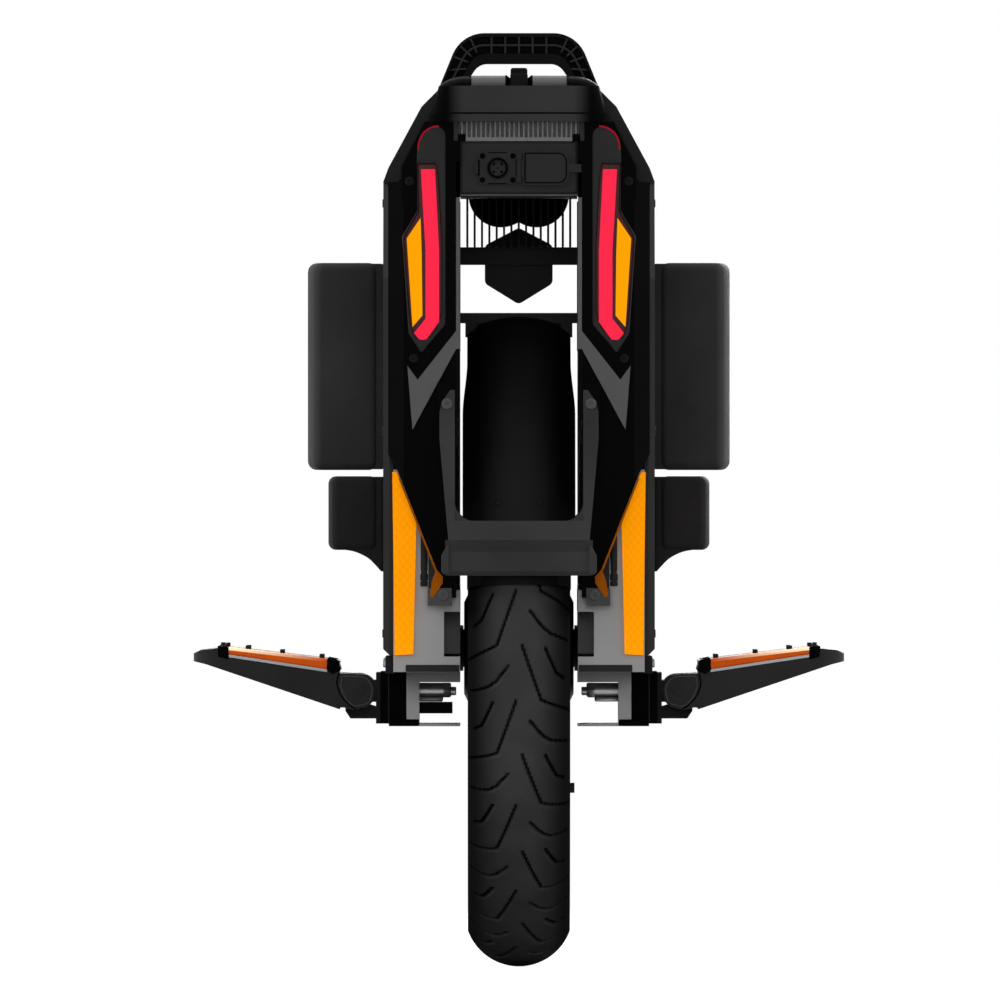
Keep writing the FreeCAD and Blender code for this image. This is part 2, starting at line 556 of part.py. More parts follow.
def build_frames():
    outline = [("-frame_half_length", "frame_low"), ("-slot_half", "frame_low"),
               ("-slot_half", "damper_high"),
               ("slot_half", "damper_high"), ("slot_half", "frame_low"), ("frame_half_length", "frame_low"),
               ("frame_half_length", "frame_high - frame_slant"),
               ("frame_half_length - frame_slant", "frame_high"),
               ("frame_slant - frame_half_length", "frame_high"),
               ("-frame_half_length", "frame_high - frame_slant")]
    frame = prism("side_frame_right", "YZ", "frame_inner", "frame_outer", outline)
    for sign in (1, -1):
        near, far = sorted((f"{sign} * ledge_near", f"{sign} * ledge_far"), key=size)
        pad(frame, "YZ", "slider_inner + upright_thick", "frame_inner",
            [rectangle(near, far, "ledge_low", "ledge_high")])
    pocket(frame, "XY", "ledge_low", "ledge_high",
           [("circle", "guide_x", f"{sign} * guide_y", "guide_radius") for sign in (1, -1)])
    both("side_frame", frame)
    group("guide_rods", [rod("guide_rod", "guide_radius", f"{a} * guide_x", f"{b} * guide_y", "lower_low",
                             "ledge_high - lower_low") for a, b in around()])
    shells = []
    for sign in (1, -1):
        cut = document.addObject("Part::Cut", "damper_body")
        cut.Base = rod("damper_shell", "damper_radius", f"{sign} * damper_x", "0", "damper_low",
                       "damper_high - damper_low")
        cut.Tool = rod("damper_bore", "damper_rod_radius + running_play", f"{sign} * damper_x", "0",
                       "damper_low",
                       "damper_high - damper_low - damper_cap")
        shells.append(cut)
    group("damper_bodies", shells)
    packs = []
    for sign in (1, -1):
        low, high = sorted((f"{sign} * slot_half", f"{sign} * battery_end"), key=size)
        pack = prism("battery", "YZ", "frame_outer", "cover_inner",
                     rectangle(low, high, "battery_low", "battery_high"))
        soften(pack, "Chamfer", "battery_edge", on("x", "cover_inner"))
        packs += [pack, mirror("battery_twin", pack)]
    group("battery_packs", packs)
    cover = prism("side_cover_right", "YZ", "cover_inner", "cover_outer",
                  spread(SIDE_SHARES, "0", "frame_half_length", "cover_low", "(cover_high - cover_low)"))
    top = size("cover_high")
    outer = on("x", "cover_outer")
    soften(cover, "Chamfer", "cover_bevel",
           lambda ends: outer(ends) and not all(abs(p.z - top) < TOUCH for p in ends))
    pocket(cover, "YZ", "cover_outer - panel_depth", "cover_outer",
           [[(y, z, "panel_corner") for y, z in spread(PANEL_SHARES, "0", "frame_half_length", "cover_low",
                                                       "(cover_high - cover_low)")]])
    both("side_cover", cover)
    base = rectangle("bracket_inner", "cover_inner", "-frame_half_length", "frame_half_length")
    lower = prism("lower_frame_right", "XY", "lower_low", "frame_low", base)
    pocket(lower, "XY", "lower_floor", "frame_low",
           [rectangle("bracket_inner", "slider_outer + lower_gap", "-slider_length - nose_room",
                      "slider_length + nose_room")])
    pocket(lower, "XY", "lower_low", "frame_low", [rectangle("bracket_inner", "axle_room_x", "-axle_room",
                                                             "axle_room")])
    pocket(lower, "XZ", "-frame_half_length", "frame_half_length",
           [rectangle("bracket_inner", "window_outer", "window_low", "window_high")])
    pad(lower, "XZ", "-frame_half_length", "post_length - frame_half_length",
        [rectangle("post_inner", "cover_inner", "frame_low", "post_high")])
    pocket(lower, "XY", "lower_low", "lower_floor",
           [("circle", "guide_x", f"{sign} * guide_y", "guide_radius") for sign in (1, -1)])
    both("lower_frame", lower)
    inner = "shoulder_thick"
    shoulder = prism("shoulder", "XZ", "-shoulder_half_length", "shoulder_half_length", [
        ("cover_outer", "cover_high"), ("shoulder_edge", "shoulder_edge_z"),
        ("shoulder_bend", "shoulder_bend_z"),
        ("deck_half", "deck_high"), ("deck_half", "deck_low"), (f"shoulder_bend - {inner}",
                                                                f"shoulder_bend_z - {inner} / 2"),
        (f"shoulder_edge - {inner}", f"shoulder_edge_z - {inner} / 2"), (f"cover_outer - {inner}",
                                                                         "cover_high")])
    group("shoulders", [shoulder, mirror("shoulder_left", shoulder)])


def build_ends():
    across = "(fairing_outer - rail_outer)"
    outline = spread(FAIRING_FOOT_SHARES, "rail_outer", across, "fairing_low", "fairing_foot")
    neck = "fairing_high - fairing_head"
    outline += spread(FAIRING_HEAD_SHARES, "rail_outer", across, neck, "fairing_head")
    cap = spread(FAIRING_CAP_SHARES, "rail_outer", across, neck, "fairing_head")
    back, front = "-fairing_back", "-frame_half_length"
    lamp = spread(LAMP_SHARES, "lamp_x", "lamp_wide", "lamp_z", "lamp_high")
    rear = prism("rear_fairing_right", "XZ", back, front, outline)
    soften(rear, "Chamfer", "fairing_bevel", on("y", back, on("x", "fairing_outer")))
    pad(rear, "XZ", back, "-shoulder_half_length - lower_gap", [cap])
    pocket(rear, "XZ", back, f"{back} + lamp_depth", [lamp])
    both("rear_fairing", rear)
    plain = prism("front_fairing", "XZ", "frame_half_length", "fairing_back", outline)
    soften(plain, "Chamfer", "fairing_bevel", on("y", "fairing_back", on("x", "fairing_outer")))
    pad(plain, "XZ", "shoulder_half_length + lower_gap", "fairing_back", [cap])
    group("front_fairings", [plain, mirror("front_fairing_twin", plain)])
    for label, shares in (("brake_lenses", BRAKE_SHARES), ("indicator_lenses", INDICATOR_SHARES)):
        lens = prism(label + "_one", "XZ", f"{back} + lens_drop", f"{back} + lamp_depth",
                     spread(shares, "lamp_x", "lamp_wide", "lamp_z", "lamp_high"))
        group(label, [lens, mirror(label + "_two", lens)])
    rail = prism("rail", "XZ", f"{back} - rail_thick", front,
                 rectangle("rail_inner", "rail_outer", "rail_low", "rail_high"))
    pad(rail, "XZ", f"{back} - rail_thick", back,
        [spread(CHEVRON_SHARES, "rail_outer", "chevron_wide", "chevron_z", "chevron_high")])
    rails = [rail, mirror("rail_left", rail)]
    group("window_rails", rails + [mirror("rail_front", r, "y") for r in rails])
    step = "yoke_step - yoke_back"
    yoke = prism("rear_yoke", "YZ", "-yoke_half", "yoke_half", [
        ("-yoke_back", "yoke_ridge"), (step, "yoke_waist"), (step, "yoke_low + yoke_edge"),
        (f"{step} + yoke_edge", "yoke_low"), ("-yoke_face", "yoke_low"), ("-yoke_face", "yoke_high"),
        ("yoke_bevel - yoke_back", "yoke_high")])
    for sign in (1, -1):
        low, far = sorted((f"{sign} * arm_inner", f"{sign} * arm_outer"), key=size)
        pad(yoke, "YZ", low, far, [[
            ("-yoke_face - arm_thick - yoke_bevel", "yoke_high - yoke_bevel"),
            ("-yoke_face", "yoke_high - yoke_bevel"),
            (back, "arm_foot"), (back, "arm_top"), (f"{back} - arm_thick", "arm_top"),
            (f"{back} - arm_thick", "arm_foot")]])
        wide = f"{sign} * (arm_outer + overrun)"
        pocket(yoke, "XZ", "-yoke_back", back, [[
            (wide, "arm_foot"), (f"{sign} * arm_toe", "yoke_ridge"), (wide, "yoke_ridge")]])
        corner = f"{sign} * arm_inner"
        pad(yoke, "XZ", "-yoke_face - yoke_bevel", "-yoke_face", [[
            (corner, "yoke_high"), (corner, "yoke_high + yoke_corner"),
            ("via", f"{sign} * (arm_inner - {BOW_SHARE} * yoke_corner)",
             f"yoke_high + {BOW_SHARE} * yoke_corner"),
            (f"{sign} * (arm_inner - yoke_corner)", "yoke_high")]])
    keep("rear_yoke", yoke)
    keep("front_yoke", mirror("front_yoke", yoke, "y"))
    reflector = prism("reflector", "XZ", "-frame_half_length - reflector_thick", "-frame_half_length",
                      spread(REFLECTOR_SHARES, "reflector_x", "reflector_wide", "reflector_z",
                             "reflector_high"))
    marker = prism("marker", "XZ", f"{back} - marker_thick", back,
                   spread(MARKER_SHARES, "marker_x", "marker_wide", "marker_z", "marker_high"))
    group("rear_reflectors", [reflector, mirror("reflector_left", reflector), marker,
                              mirror("marker_left", marker)])


def build_top():
    box = prism("controller_box", "XZ", "-box_back", "-box_front",
                rectangle("-box_half", "box_half", "box_low", "box_high"))
    soften(box, "Chamfer", "box_edge", on("y", "-box_back"))
    keep("controller_box", box)
    sink = prism("heat_sink", "XZ", "-box_back", "-sink_front",
                 rectangle("-sink_half", "sink_half", "box_high", "box_high + sink_base"))
    for sign in (1, -1):
        low, high = sorted((f"{sign} * sink_half", f"{sign} * sink_ear"), key=size)
        pad(sink, "XZ", "-box_back", "-sink_ear_front", [rectangle(low, high, "box_high", "sink_high")])
    first = "-sink_pitch * (sink_fins - 1) / 2"
    fin = pad(sink, "XZ", "-box_back", "-sink_front",
              [rectangle(f"{first} - sink_fin / 2", f"{first} + sink_fin / 2", "box_high", "sink_high")])
    repeat(sink, fin, "sink_pitch", "sink_fins")
    pad(sink, "XZ", "-sink_wall", "sink_wall_thick - sink_wall",
        [rectangle("-sink_half", "sink_half", "box_high", "sink_high")])
    keep("heat_sink", sink)
    bridge = prism("top_bridge", "XY", "block_low", "bridge_block_high",
                   rectangle("-frame_inner", "frame_inner", "-box_front", "box_front"))
    pad(bridge, "XY", "bridge_block_high", "deck_low", [rectangle("-tower_half", "tower_half",
                                                                  "-tower_deep", "tower_deep")])
    keep("top_bridge", bridge)
    deck = prism("top_deck", "XZ", "-tail_front", "deck_front",
                 rectangle("-deck_half", "deck_half", "deck_low", "deck_high"))
    pad(deck, "XZ", "-tail_back", "-tail_front", [[
        ("-tail_foot_half", "tail_lip_high"), ("tail_foot_half", "tail_lip_high"),
        ("tail_top_half", "tail_high"), ("-tail_top_half", "tail_high")]])
    for end in ("-tail_back", "deck_front"):
        face = on("y", end)
        soften(deck, "Fillet", "tail_round", lambda ends: face(ends) and abs(ends[0].z - ends[-1].z) > TOUCH)
    pad(deck, "XY", "tail_lip_low", "tail_lip_high", [[
        ("-tail_lip_half", "-tail_front"), ("-tail_lip_half", "-tail_back - tail_step", "tail_round"),
        ("tail_lip_half", "-tail_back - tail_step", "tail_round"), ("tail_lip_half", "-tail_front")]])
    pocket(deck, "XY", "hand_floor", "deck_high", [rounded("-hand_half", "hand_half", "-hand_back",
                                                           "-hand_front", "pad_round")])
    pocket(deck, "XY", "deck_low", "deck_high",
           [("circle", f"{sign} * trolley_x", "-trolley_y",
             "trolley_rod_radius + running_play") for sign in (1, -1)])
    pocket(deck, "XY", "deck_high - power_pit", "deck_high",
           [("circle", "0", "power_y", "power_radius + power_gap")])
    keep("top_deck", deck)
    keep("power_button", rod("power_button", "power_radius", "0", "power_y", "deck_high - power_root",
                             "power_high - deck_high + power_root"))


def repeat(body, feature, pitch, count):
    """Repeat a feature across X."""
    pattern = body.newObject("PartDesign::LinearPattern", "Pattern")
    pattern.Originals = [feature]
    pattern.Direction = (next(f for f in body.Origin.OriginFeatures if f.Role == "X_Axis"), [""])
    bind(pattern, "Length", f"{pitch} * ({count} - 1)")
    pattern.Occurrences = int(size(count))
    body.Tip = pattern
    document.recompute()
    return pattern


def build_handle():
    low = "deck_high"
    outer = [("-handle_half", low), ("-handle_corner_half", "handle_high", "handle_corner_radius"),
             ("handle_corner_half", "handle_high", "handle_corner_radius"), ("handle_half", low)]
    inner = [("handle_gap_half", low), ("handle_gap_corner", "handle_grip_z", "handle_gap_radius"),
             ("-handle_gap_corner", "handle_grip_z", "handle_gap_radius"), ("-handle_gap_half", low)]
    handle = prism("carry_handle", "XZ", "-handle_back", "-handle_front", outer + inner)
    wall, lip = "handle_wall", "handle_lip"
    channel = [(f"{wall} - handle_half", f"{low} + {wall}"),
               (f"-handle_corner_half + {wall} / 2", f"handle_high - {wall}",
                f"handle_corner_radius - {wall}"),
               (f"handle_corner_half - {wall} / 2", f"handle_high - {wall}",
                f"handle_corner_radius - {wall}"),
               (f"handle_half - {wall}", f"{low} + {wall}"), (f"handle_gap_half + {wall}",
                                                              f"{low} + {wall}"),
               (f"handle_gap_corner + {wall}", f"handle_grip_z + {lip}", f"handle_gap_radius + {wall}"),
               (f"-handle_gap_corner - {wall}", f"handle_grip_z + {lip}", f"handle_gap_radius + {wall}"),
               (f"-handle_gap_half - {wall}", f"{low} + {wall}")]
    pocket(handle, "XZ", "-handle_back", "-handle_front - handle_web", [channel])
    first = "-rib_pitch * (rib_count - 1) / 2"
    rib = pad(handle, "XZ", "-handle_back", "-handle_front - handle_web",
              [rectangle(f"{first} - rib_thick / 2", f"{first} + rib_thick / 2", f"handle_grip_z + {lip}",
                         f"handle_high - {wall}")])
    repeat(handle, rib, "rib_pitch", "rib_count")
    halves = {}
    for name, sign in (("over", 1), ("under", -1)):
        shift = f"{sign} * rib_thick / 2"
        halves[name] = [
            (f"(handle_half + handle_gap_half) / 2 + {shift}", f"{low} + {wall}"),
            (f"(handle_corner_half + handle_gap_corner + {wall} / 2) / 2 + {shift}",
             f"(handle_high + handle_grip_z + {lip} - {wall}) / 2 + {shift}",
             f"(handle_corner_radius + handle_gap_radius) / 2 + {shift}")]
    over, under = halves["over"], halves["under"]
    band = over + [(f"-({over[1][0]})", *over[1][1:]), (f"-({over[0][0]})", over[0][1])]
    band += [(f"-({under[0][0]})", under[0][1]), (f"-({under[1][0]})", *under[1][1:]), under[1], under[0]]
    pad(handle, "XZ", "-handle_back", "-handle_front - handle_web", [band])
    spokes = []
    for sign in (1, -1):
        for turn in RIB_TURNS:
            spokes.append(spoke(turn, sign))
    for outline in spokes:
        pad(handle, "XZ", "-handle_back", "-handle_front - handle_web", [outline])
    keep("carry_handle", handle)


def spoke(turn, sign):
    """A thin rib that points from the corner's middle, with its ends sunk in the two walls."""
    c, s = math.cos(math.radians(turn)), math.sin(math.radians(turn))
    reach = f"(handle_corner_radius - handle_wall / 2) / {spoke_share(turn)}"
    root = "handle_gap_radius"
    points = []
    for along, across in ((root, -1), (reach, -1), (reach, 1), (root, 1)):
        x = f"spoke_x + {c} * ({along}) - {s * across} * rib_thick / 2"
        z = f"spoke_z + {s} * ({along}) + {c * across} * rib_thick / 2"
        points.append((f"{sign} * ({x})", z))
    return points


def spoke_share(turn):
    """How far a rib goes to the wall: the corner's own radius, or below it to the leg, which leans out."""
    return math.cos(math.radians(min(0, turn - LEG_TURN)))


def build_trolley():
    group("trolley_sleeves", [tube("sleeve", "sleeve_radius", "trolley_rod_radius + running_play",
                                   f"{sign} * trolley_x",
                                   "-trolley_y", "sleeve_low", "deck_low - sleeve_low") for sign in (1,
                                                                                                     -1)])
    deep = ("-trolley_y - trolley_bar_deep", "trolley_bar_deep - trolley_y")
    parts = []
    for sign in (1, -1):
        outline = [(f"{sign} * trolley_shoulder", "deck_high"), (f"{sign} * trolley_bar_half", "deck_high"),
                   (f"{sign} * trolley_bar_half", "trolley_slope"),
                   (f"{sign} * (trolley_shoulder + trolley_bar_half) / 2", "trolley_bar_high"),
                   (f"{sign} * trolley_shoulder", "trolley_bar_high")]
        parts.append(prism("trolley_end", "XZ", *deep, outline))
        parts.append(rod("trolley_rod", "trolley_rod_radius", f"{sign} * trolley_x", "-trolley_y",
                         "rod_low",
                         "grip_z - rod_low"))
    parts.append(rod("trolley_core", "grip_core", "-trolley_shoulder", "-trolley_y", "grip_z",
                     "2 * trolley_shoulder", "x"))
    clip = prism("trolley_clip", "XZ", "-trolley_y - clip_deep", "clip_deep - trolley_y",
                 rectangle("-clip_half", "clip_half", "deck_high", "clip_high"))
    pocket(clip, "XY", "clip_high - thumb_root", "clip_high",
           [rectangle("-thumb_half", "thumb_half", "-trolley_y - thumb_deep", "thumb_deep - trolley_y")])
    parts.append(clip)
    keep("trolley_bar", fuse("trolley_bar", parts))
    grips = []
    for sign in (1, -1):
        start = "grip_inner" if sign > 0 else "-grip_outer"
        grips.append(tube("grip", "grip_radius", "grip_core", start, "-trolley_y", "grip_z",
                          "grip_outer - grip_inner", "x"))
    group("trolley_grips", grips)
    gap = "thumb_gap"
    keep("trolley_button", prism("trolley_button", "XY", "clip_high - thumb_root / 6", "thumb_high",
                                 rectangle(f"{gap} - thumb_half", f"thumb_half - {gap}",
                                           f"{gap} - trolley_y - thumb_deep", f"thumb_deep - trolley_y - {gap}")))


def build_charging():
    face = "-box_back"
    wide, high = "flange_wide / 2", "flange_high / 2"
    socket = prism("charge_socket", "XZ", f"{face} - flange_thick", face,
                   rounded(f"socket_x - {wide}", f"socket_x + {wide}", f"socket_z - {high}",
                           f"socket_z + {high}", "knuckle"))
    front = f"{face} - flange_thick - socket_proud"
    pad(socket, "XZ", front, f"{face} - flange_thick", [("circle", "socket_x", "socket_z",
                                                         "socket_radius")])
    pocket(socket, "XZ", front, face + " - contact_length / 2",
           [("circle", "socket_x", "socket_z", "socket_bore")])
    holes = [("circle", f"socket_x + {a} * contact_ring", f"socket_z + {b} * contact_ring",
              "contact_radius")
             for a, b in ((1, 0), (-1, 0), (0, 1), (0, -1))]
    pocket(socket, "XZ", face + " - contact_length / 2", face + " - contact_length / 8", holes)
    lug = "lug_half_width"
    for low, top in (("hinge_low", "knuckle_low - hinge_pin / 2"),
                     ("knuckle_high + hinge_pin / 2", "hinge_high")):
        pad(socket, "XY", low, top, [rectangle(f"-{lug}", lug, f"-hinge_y - {lug}", face)])
    pad(socket, "XY", "hinge_low", "hinge_high", [("circle", "0", "-hinge_y", "hinge_pin")])
    link = document.addObject("Part::MultiFuse", "charge_socket")
    strap = prism("socket_strap", "XZ", f"{face} - flange_thick", face,
                  rectangle(f"socket_x + {wide} - knuckle", lug, "hinge_low", "hinge_high"))
    link.Shapes = [socket, strap]
    keep("charge_socket", link)
    near, far = "lid_gap - hinge_y", "lid_gap + lid_thick - hinge_y"
    lid = prism("charge_lid", "XZ", near, far,
                [("lid_start", "lid_low"), ("lid_end", "lid_low", "lid_corner"),
                 ("lid_end", "lid_high", "lid_corner"),
                 ("lid_start", "lid_high")])
    pad(lid, "XZ", near, far, [rectangle("tab_start", "tab_end", "tab_low", "tab_high")])
    pad(lid, "XY", "knuckle_low", "knuckle_high", [rectangle("0", "lid_start", near, far)])
    pad(lid, "XY", "knuckle_low", "knuckle_high", [("circle", "0", "-hinge_y", "knuckle")])
    pocket(lid, "XY", "knuckle_low", "knuckle_high", [("circle", "0", "-hinge_y",
                                                       "hinge_pin + running_play")])
    keep("charge_lid", lid)


def build_front():
    radiator = prism("front_radiator", "XY", "fin_base", "radiator_top",
                     rectangle("-box_half", "box_half", "box_front", "radiator_front"))
    first = "-fin_pitch * (fin_count - 1) / 2"
    fin = pad(radiator, "XY", "radiator_low", "fin_base",
              [rectangle(f"{first} - fin_thick / 2", f"{first} + fin_thick / 2", "radiator_back",
                         "radiator_front")])
    repeat(radiator, fin, "fin_pitch", "fin_count")
    keep("front_radiator", radiator)
    keep("front_cowl", prism("front_cowl", "XZ", "radiator_front", "cowl_front", [
        ("-cowl_half", "deck_low"), ("-cowl_half", "cowl_low + cowl_corner"), ("via", "-cowl_lobe",
                                                                               "cowl_low"),
        ("0", "cowl_mid"), ("via", "cowl_lobe", "cowl_low"), ("cowl_half", "cowl_low + cowl_corner"),
        ("cowl_half", "deck_low")]))
    lamp = prism("headlamp_housing", "XZ", "bar_back", "bar_front",
                 rectangle("-rail_inner", "rail_inner", "bar_low", "bar_high"))
    hexagon = [("0", "hex_low", "hex_corner"), ("hex_half", "hex_side_low", "hex_corner"),
               ("hex_half", "hex_side_high", "hex_corner"),
               ("0", "hex_high", "hex_corner"), ("-hex_half", "hex_side_high", "hex_corner"),
               ("-hex_half", "hex_side_low", "hex_corner")]
    pad(lamp, "XZ", "bar_front", "hex_front", [hexagon])
    keep("headlamp_housing", lamp)
    keep("headlamp_lens", rod("headlamp_lens", "hex_half - headlens_inset", "0", "hex_front",
                              "(hex_low + hex_high) / 2",
                              "headlens_thick", "y"))


def build_pedals():
    hangers = []
    hanger = prism("pedal_hanger", "XZ", "-hanger_half", "hanger_half",
                   rectangle("hanger_inner", "hanger_outer", "hanger_low", "lower_low"))
    for sign in (1, -1):
        low, high = sorted((f"{sign} * (hinge_half + hinge_gap)", f"{sign} * hanger_half"), key=size)
        pad(hanger, "XZ", low, high, [rectangle("hanger_outer", "pivot_x", "pivot_z - lug_low",
                                                "pivot_z + lug_high")])
        pad(hanger, "XZ", low, high, [rectangle("hanger_outer", "hanger_outer + lug_plate", "hanger_low",
                                                "pivot_z + lug_rise")])
        pad(hanger, "XZ", low, high, [("circle", "pivot_x", "pivot_z", "hinge_radius")])
        pad(hanger, "XZ", low, high, [[
            ("hanger_outer", "stop_low"), ("stop_outer - stop_thick", "stop_low"),
            ("stop_outer", "stop_high"),
            ("stop_outer", "stop_high + stop_thick"), ("pivot_x", "pivot_z - lug_low"),
            ("hanger_outer", "stop_high")]])
        pocket(hanger, "XZ", low, high, [("circle", "pivot_x", "pivot_z", "pivot_radius")])
    group("pedal_hangers", [hanger, mirror("pedal_hanger_left", hanger)])
    group("pedal_pins", [rod("pedal_pin", "pivot_radius", f"{sign} * pivot_x", "-hanger_half", "pivot_z",
                             "2 * hanger_half", "y") for sign in (1, -1)])
    outline = [("pedal_root", "root_low"), ("pedal_tip - 2 * tip_bevel", "tip_low - tip_bevel / 2"),
               ("pedal_tip", "tip_low"),
               ("pedal_tip", "tip_high - tip_bevel / 2"), ("pedal_tip - tip_bevel", "tip_high"),
               ("pedal_peak", "peak_high"),
               ("pedal_root", "root_high")]
    pedal = prism("pedal_right", "XZ", "-pedal_half", "pedal_half", outline)
    tip = size("pedal_tip")
    soften(pedal, "Fillet", "pedal_corner", lambda ends: all(abs(p.x - tip) < TOUCH for p in ends)
           and abs(ends[0].y - ends[1].y) < TOUCH)
    pad(pedal, "XZ", "-hinge_half", "hinge_half", [("circle", "pivot_x", "pivot_z", "hinge_radius")])
    pad(pedal, "XZ", "-hinge_half", "hinge_half",
        [rectangle("pivot_x", "pedal_root", "pivot_z - hinge_radius", "pivot_z + hinge_radius")])
    pocket(pedal, "XZ", "-hinge_half", "hinge_half", [("circle", "pivot_x", "pivot_z",
                                                       "pivot_radius + running_play")])
    studs = []
    for sign in (1, -1):
        for across, along in STUD_SHARES:
            x = f"(pedal_root + stud_margin + {across} * (pedal_tip - pedal_root - 2 * stud_margin))"
            z = f"root_high + pedal_slope * ({x} - pedal_root)"
            studs.append(rod("stud", "stud_radius", x, f"{sign * along} * pedal_half", f"{z} - stud_sink",
                             "stud_sink + stud_high"))
    both("pedal", fuse("pedal_right", [pedal] + studs))
    rise = "pedal_slope * ({0} - pedal_root)"
    top = [(x, f"root_high + {rise.format(x)} + inlay_rise") for x in ("inlay_end", "inlay_start")]
    low = [("inlay_start", f"root_high + {rise.format('inlay_start')} - inlay_high"),
           ("inlay_end", f"root_high + {rise.format('inlay_end')} - inlay_tip_high")]
    inlay = prism("inlay", "XZ", "-pedal_half - inlay_proud", "-pedal_half", low + top)
    pair = document.addObject("Part::Compound", "pedal_inlay_right")
    pair.Links = [inlay, mirror("inlay_front", inlay, "y")]
    both("pedal_inlay", pair)
    brackets = []
    for sign in (1, -1):
        low, high = sorted((f"{sign} * bracket_near", f"{sign} * bracket_far"), key=size)
        foot = "hanger_low"
        one = prism("bracket", "XZ", low, high, [
            ("bracket_inner", "bracket_bar_low"), ("bracket_inner", "lower_low"),
            ("hanger_inner", "lower_low"),
            ("hanger_inner", foot), ("hanger_outer", foot), ("hanger_outer", "bracket_foot"),
            ("bracket_inner", "bracket_foot"),
            ("bracket_inner", foot), ("bracket_leg", foot), ("bracket_leg", "bracket_bar_low")])
        brackets += [one, mirror("bracket_left", one)]
    group("hanger_brackets", brackets)
    keep("cable_cover", prism("cable_cover", "XZ", "-bolt_y - cable_half", "cable_half - bolt_y",
                              rectangle("-bracket_leg", "-cable_end", "cable_low", "cable_high")))


def build_pads():
    root = size("cover_outer") + size("pad_round")
    knee = prism("knee_pad", "XZ", "knee_back", "knee_front", [
        ("cover_outer", "knee_low"), ("knee_outer", "knee_low", "knee_round"),
        ("knee_outer", "knee_high", "knee_round"), ("cover_outer", "knee_high")])
    soften(knee, "Chamfer", "pad_bevel",
           lambda ends: ends[0].y == ends[-1].y and ends[0].x + ends[-1].x > 2 * root)
    group("knee_pads", [knee, mirror("knee_pad_left", knee)])
    calf = prism("calf_pad", "XZ", "-calf_back", "-calf_front", [
        ("cover_outer", "calf_flare"), ("via", "cover_outer + calf_bow", "calf_low - calf_bow_drop"),
        ("cover_outer + calf_toe", "calf_low"), ("calf_outer", "calf_low", "pad_round"),
        ("calf_outer", "calf_high", "pad_round"), ("cover_outer", "calf_high")])
    group("calf_pads", [calf, mirror("calf_pad_left", calf)])


def build_screws():
    back = "-fairing_back"
    heads = []
    for sign in (1, -1):
        for a, b in SCREW_SHARES:
            heads.append(rod("screw", "screw_radius", f"{sign} * (lamp_x + {a} * lamp_wide)",
                             f"{back} - screw_high",
                             f"lamp_z + {b} * lamp_high", "screw_high", "y"))
        heads.append(rod("screw", "screw_radius", f"{sign} * (arm_inner + arm_outer) / 2",
                         f"{back} - arm_thick - screw_high",
                         "arm_top - 3 * screw_radius", "screw_high", "y"))
        for along in (1, -1):
            bolt = document.addObject("Part::Prism", "bolt")
            bolt.Polygon = int(size("bolt_sides"))
            bind(bolt, "Circumradius", "bolt_radius")
            bind(bolt, "Height", "bracket_leg - bolt_inner")
            bolt.Placement.Rotation = FreeCAD.Rotation(FreeCAD.Vector(0, 1, 0), sign * -90)
            place(bolt, f"{sign} * bracket_leg", f"{along} * bolt_y", "bolt_z")
            heads.append(bolt)
    group("body_screws", heads)


build_wheel()
build_carriage()
build_frames()
build_ends()
build_top()
build_handle()
build_trolley()
build_charging()
build_front()
build_pedals()
build_pads()
build_screws()
document.recompute()

for thing in document.Objects:
    if "Invalid" in thing.State or "Error" in thing.State:
        raise ValueError(f"{thing.Label} did not build: {thing.State}")
os.makedirs("parts", exist_ok=True)
for label, thing in nodes.items():
    if thing.Shape.isNull() or not thing.Shape.isValid():
        raise ValueError(f"{label} has no valid shape")
    thing.Shape.exportStep(f"parts/{label}.step")
print(len(nodes), "nodes")
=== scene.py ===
"""Electric unicycle seen from behind: finishes for the CAD nodes, and moulded, turned and padded pieces over them."""
import json
import math

import bmesh
import bpy
import numpy as np
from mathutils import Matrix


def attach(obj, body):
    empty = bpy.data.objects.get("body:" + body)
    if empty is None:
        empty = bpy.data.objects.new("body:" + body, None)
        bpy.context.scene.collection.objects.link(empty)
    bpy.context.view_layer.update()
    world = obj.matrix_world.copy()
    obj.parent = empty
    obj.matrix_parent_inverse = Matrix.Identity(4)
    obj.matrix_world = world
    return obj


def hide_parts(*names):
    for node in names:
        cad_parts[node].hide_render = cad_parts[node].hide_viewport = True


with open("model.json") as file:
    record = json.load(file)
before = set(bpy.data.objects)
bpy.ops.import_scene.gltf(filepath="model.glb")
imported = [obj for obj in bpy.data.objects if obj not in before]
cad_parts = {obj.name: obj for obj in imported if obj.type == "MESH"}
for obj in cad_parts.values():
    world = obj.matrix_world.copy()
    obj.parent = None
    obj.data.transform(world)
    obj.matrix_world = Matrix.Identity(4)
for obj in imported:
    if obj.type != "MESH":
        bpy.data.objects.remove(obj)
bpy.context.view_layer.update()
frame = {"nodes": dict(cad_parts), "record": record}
nodes = frame["nodes"]
scene = bpy.context.scene
MM = 0.001
AXLE = np.array([0.0, 0.0, 250.0])
SIDES = (-1, 1)
MITRE_LIMIT = 0.4
ROUND_STEPS, CUSHION_STEPS, CUSHION_RINGS, BELLY_ROWS = 4, 9, 14, 13


# Surfaces, worked out in millimetres

def skin(grid, wrap_rows=False, wrap_columns=False, ends=False):
    """Quads between neighbours of a grid of points (rows, columns, 3); ends caps the first and last row."""
    grid = np.asarray(grid, float)
    rows, columns = grid.shape[:2]
    number = np.arange(rows * columns).reshape(rows, columns)
    wide = np.concatenate([number, number[:1]]) if wrap_rows else number
    if wrap_columns:
        wide = np.concatenate([wide, wide[:, :1]], axis=1)
    quads = np.stack([wide[:-1, :-1], wide[:-1, 1:], wide[1:, 1:], wide[1:, :-1]], axis=-1)
    faces = quads.reshape(-1, 4).tolist()
    if ends:
        faces += [number[0, ::-1].tolist(), number[-1].tolist()]
    return grid.reshape(-1, 3), faces


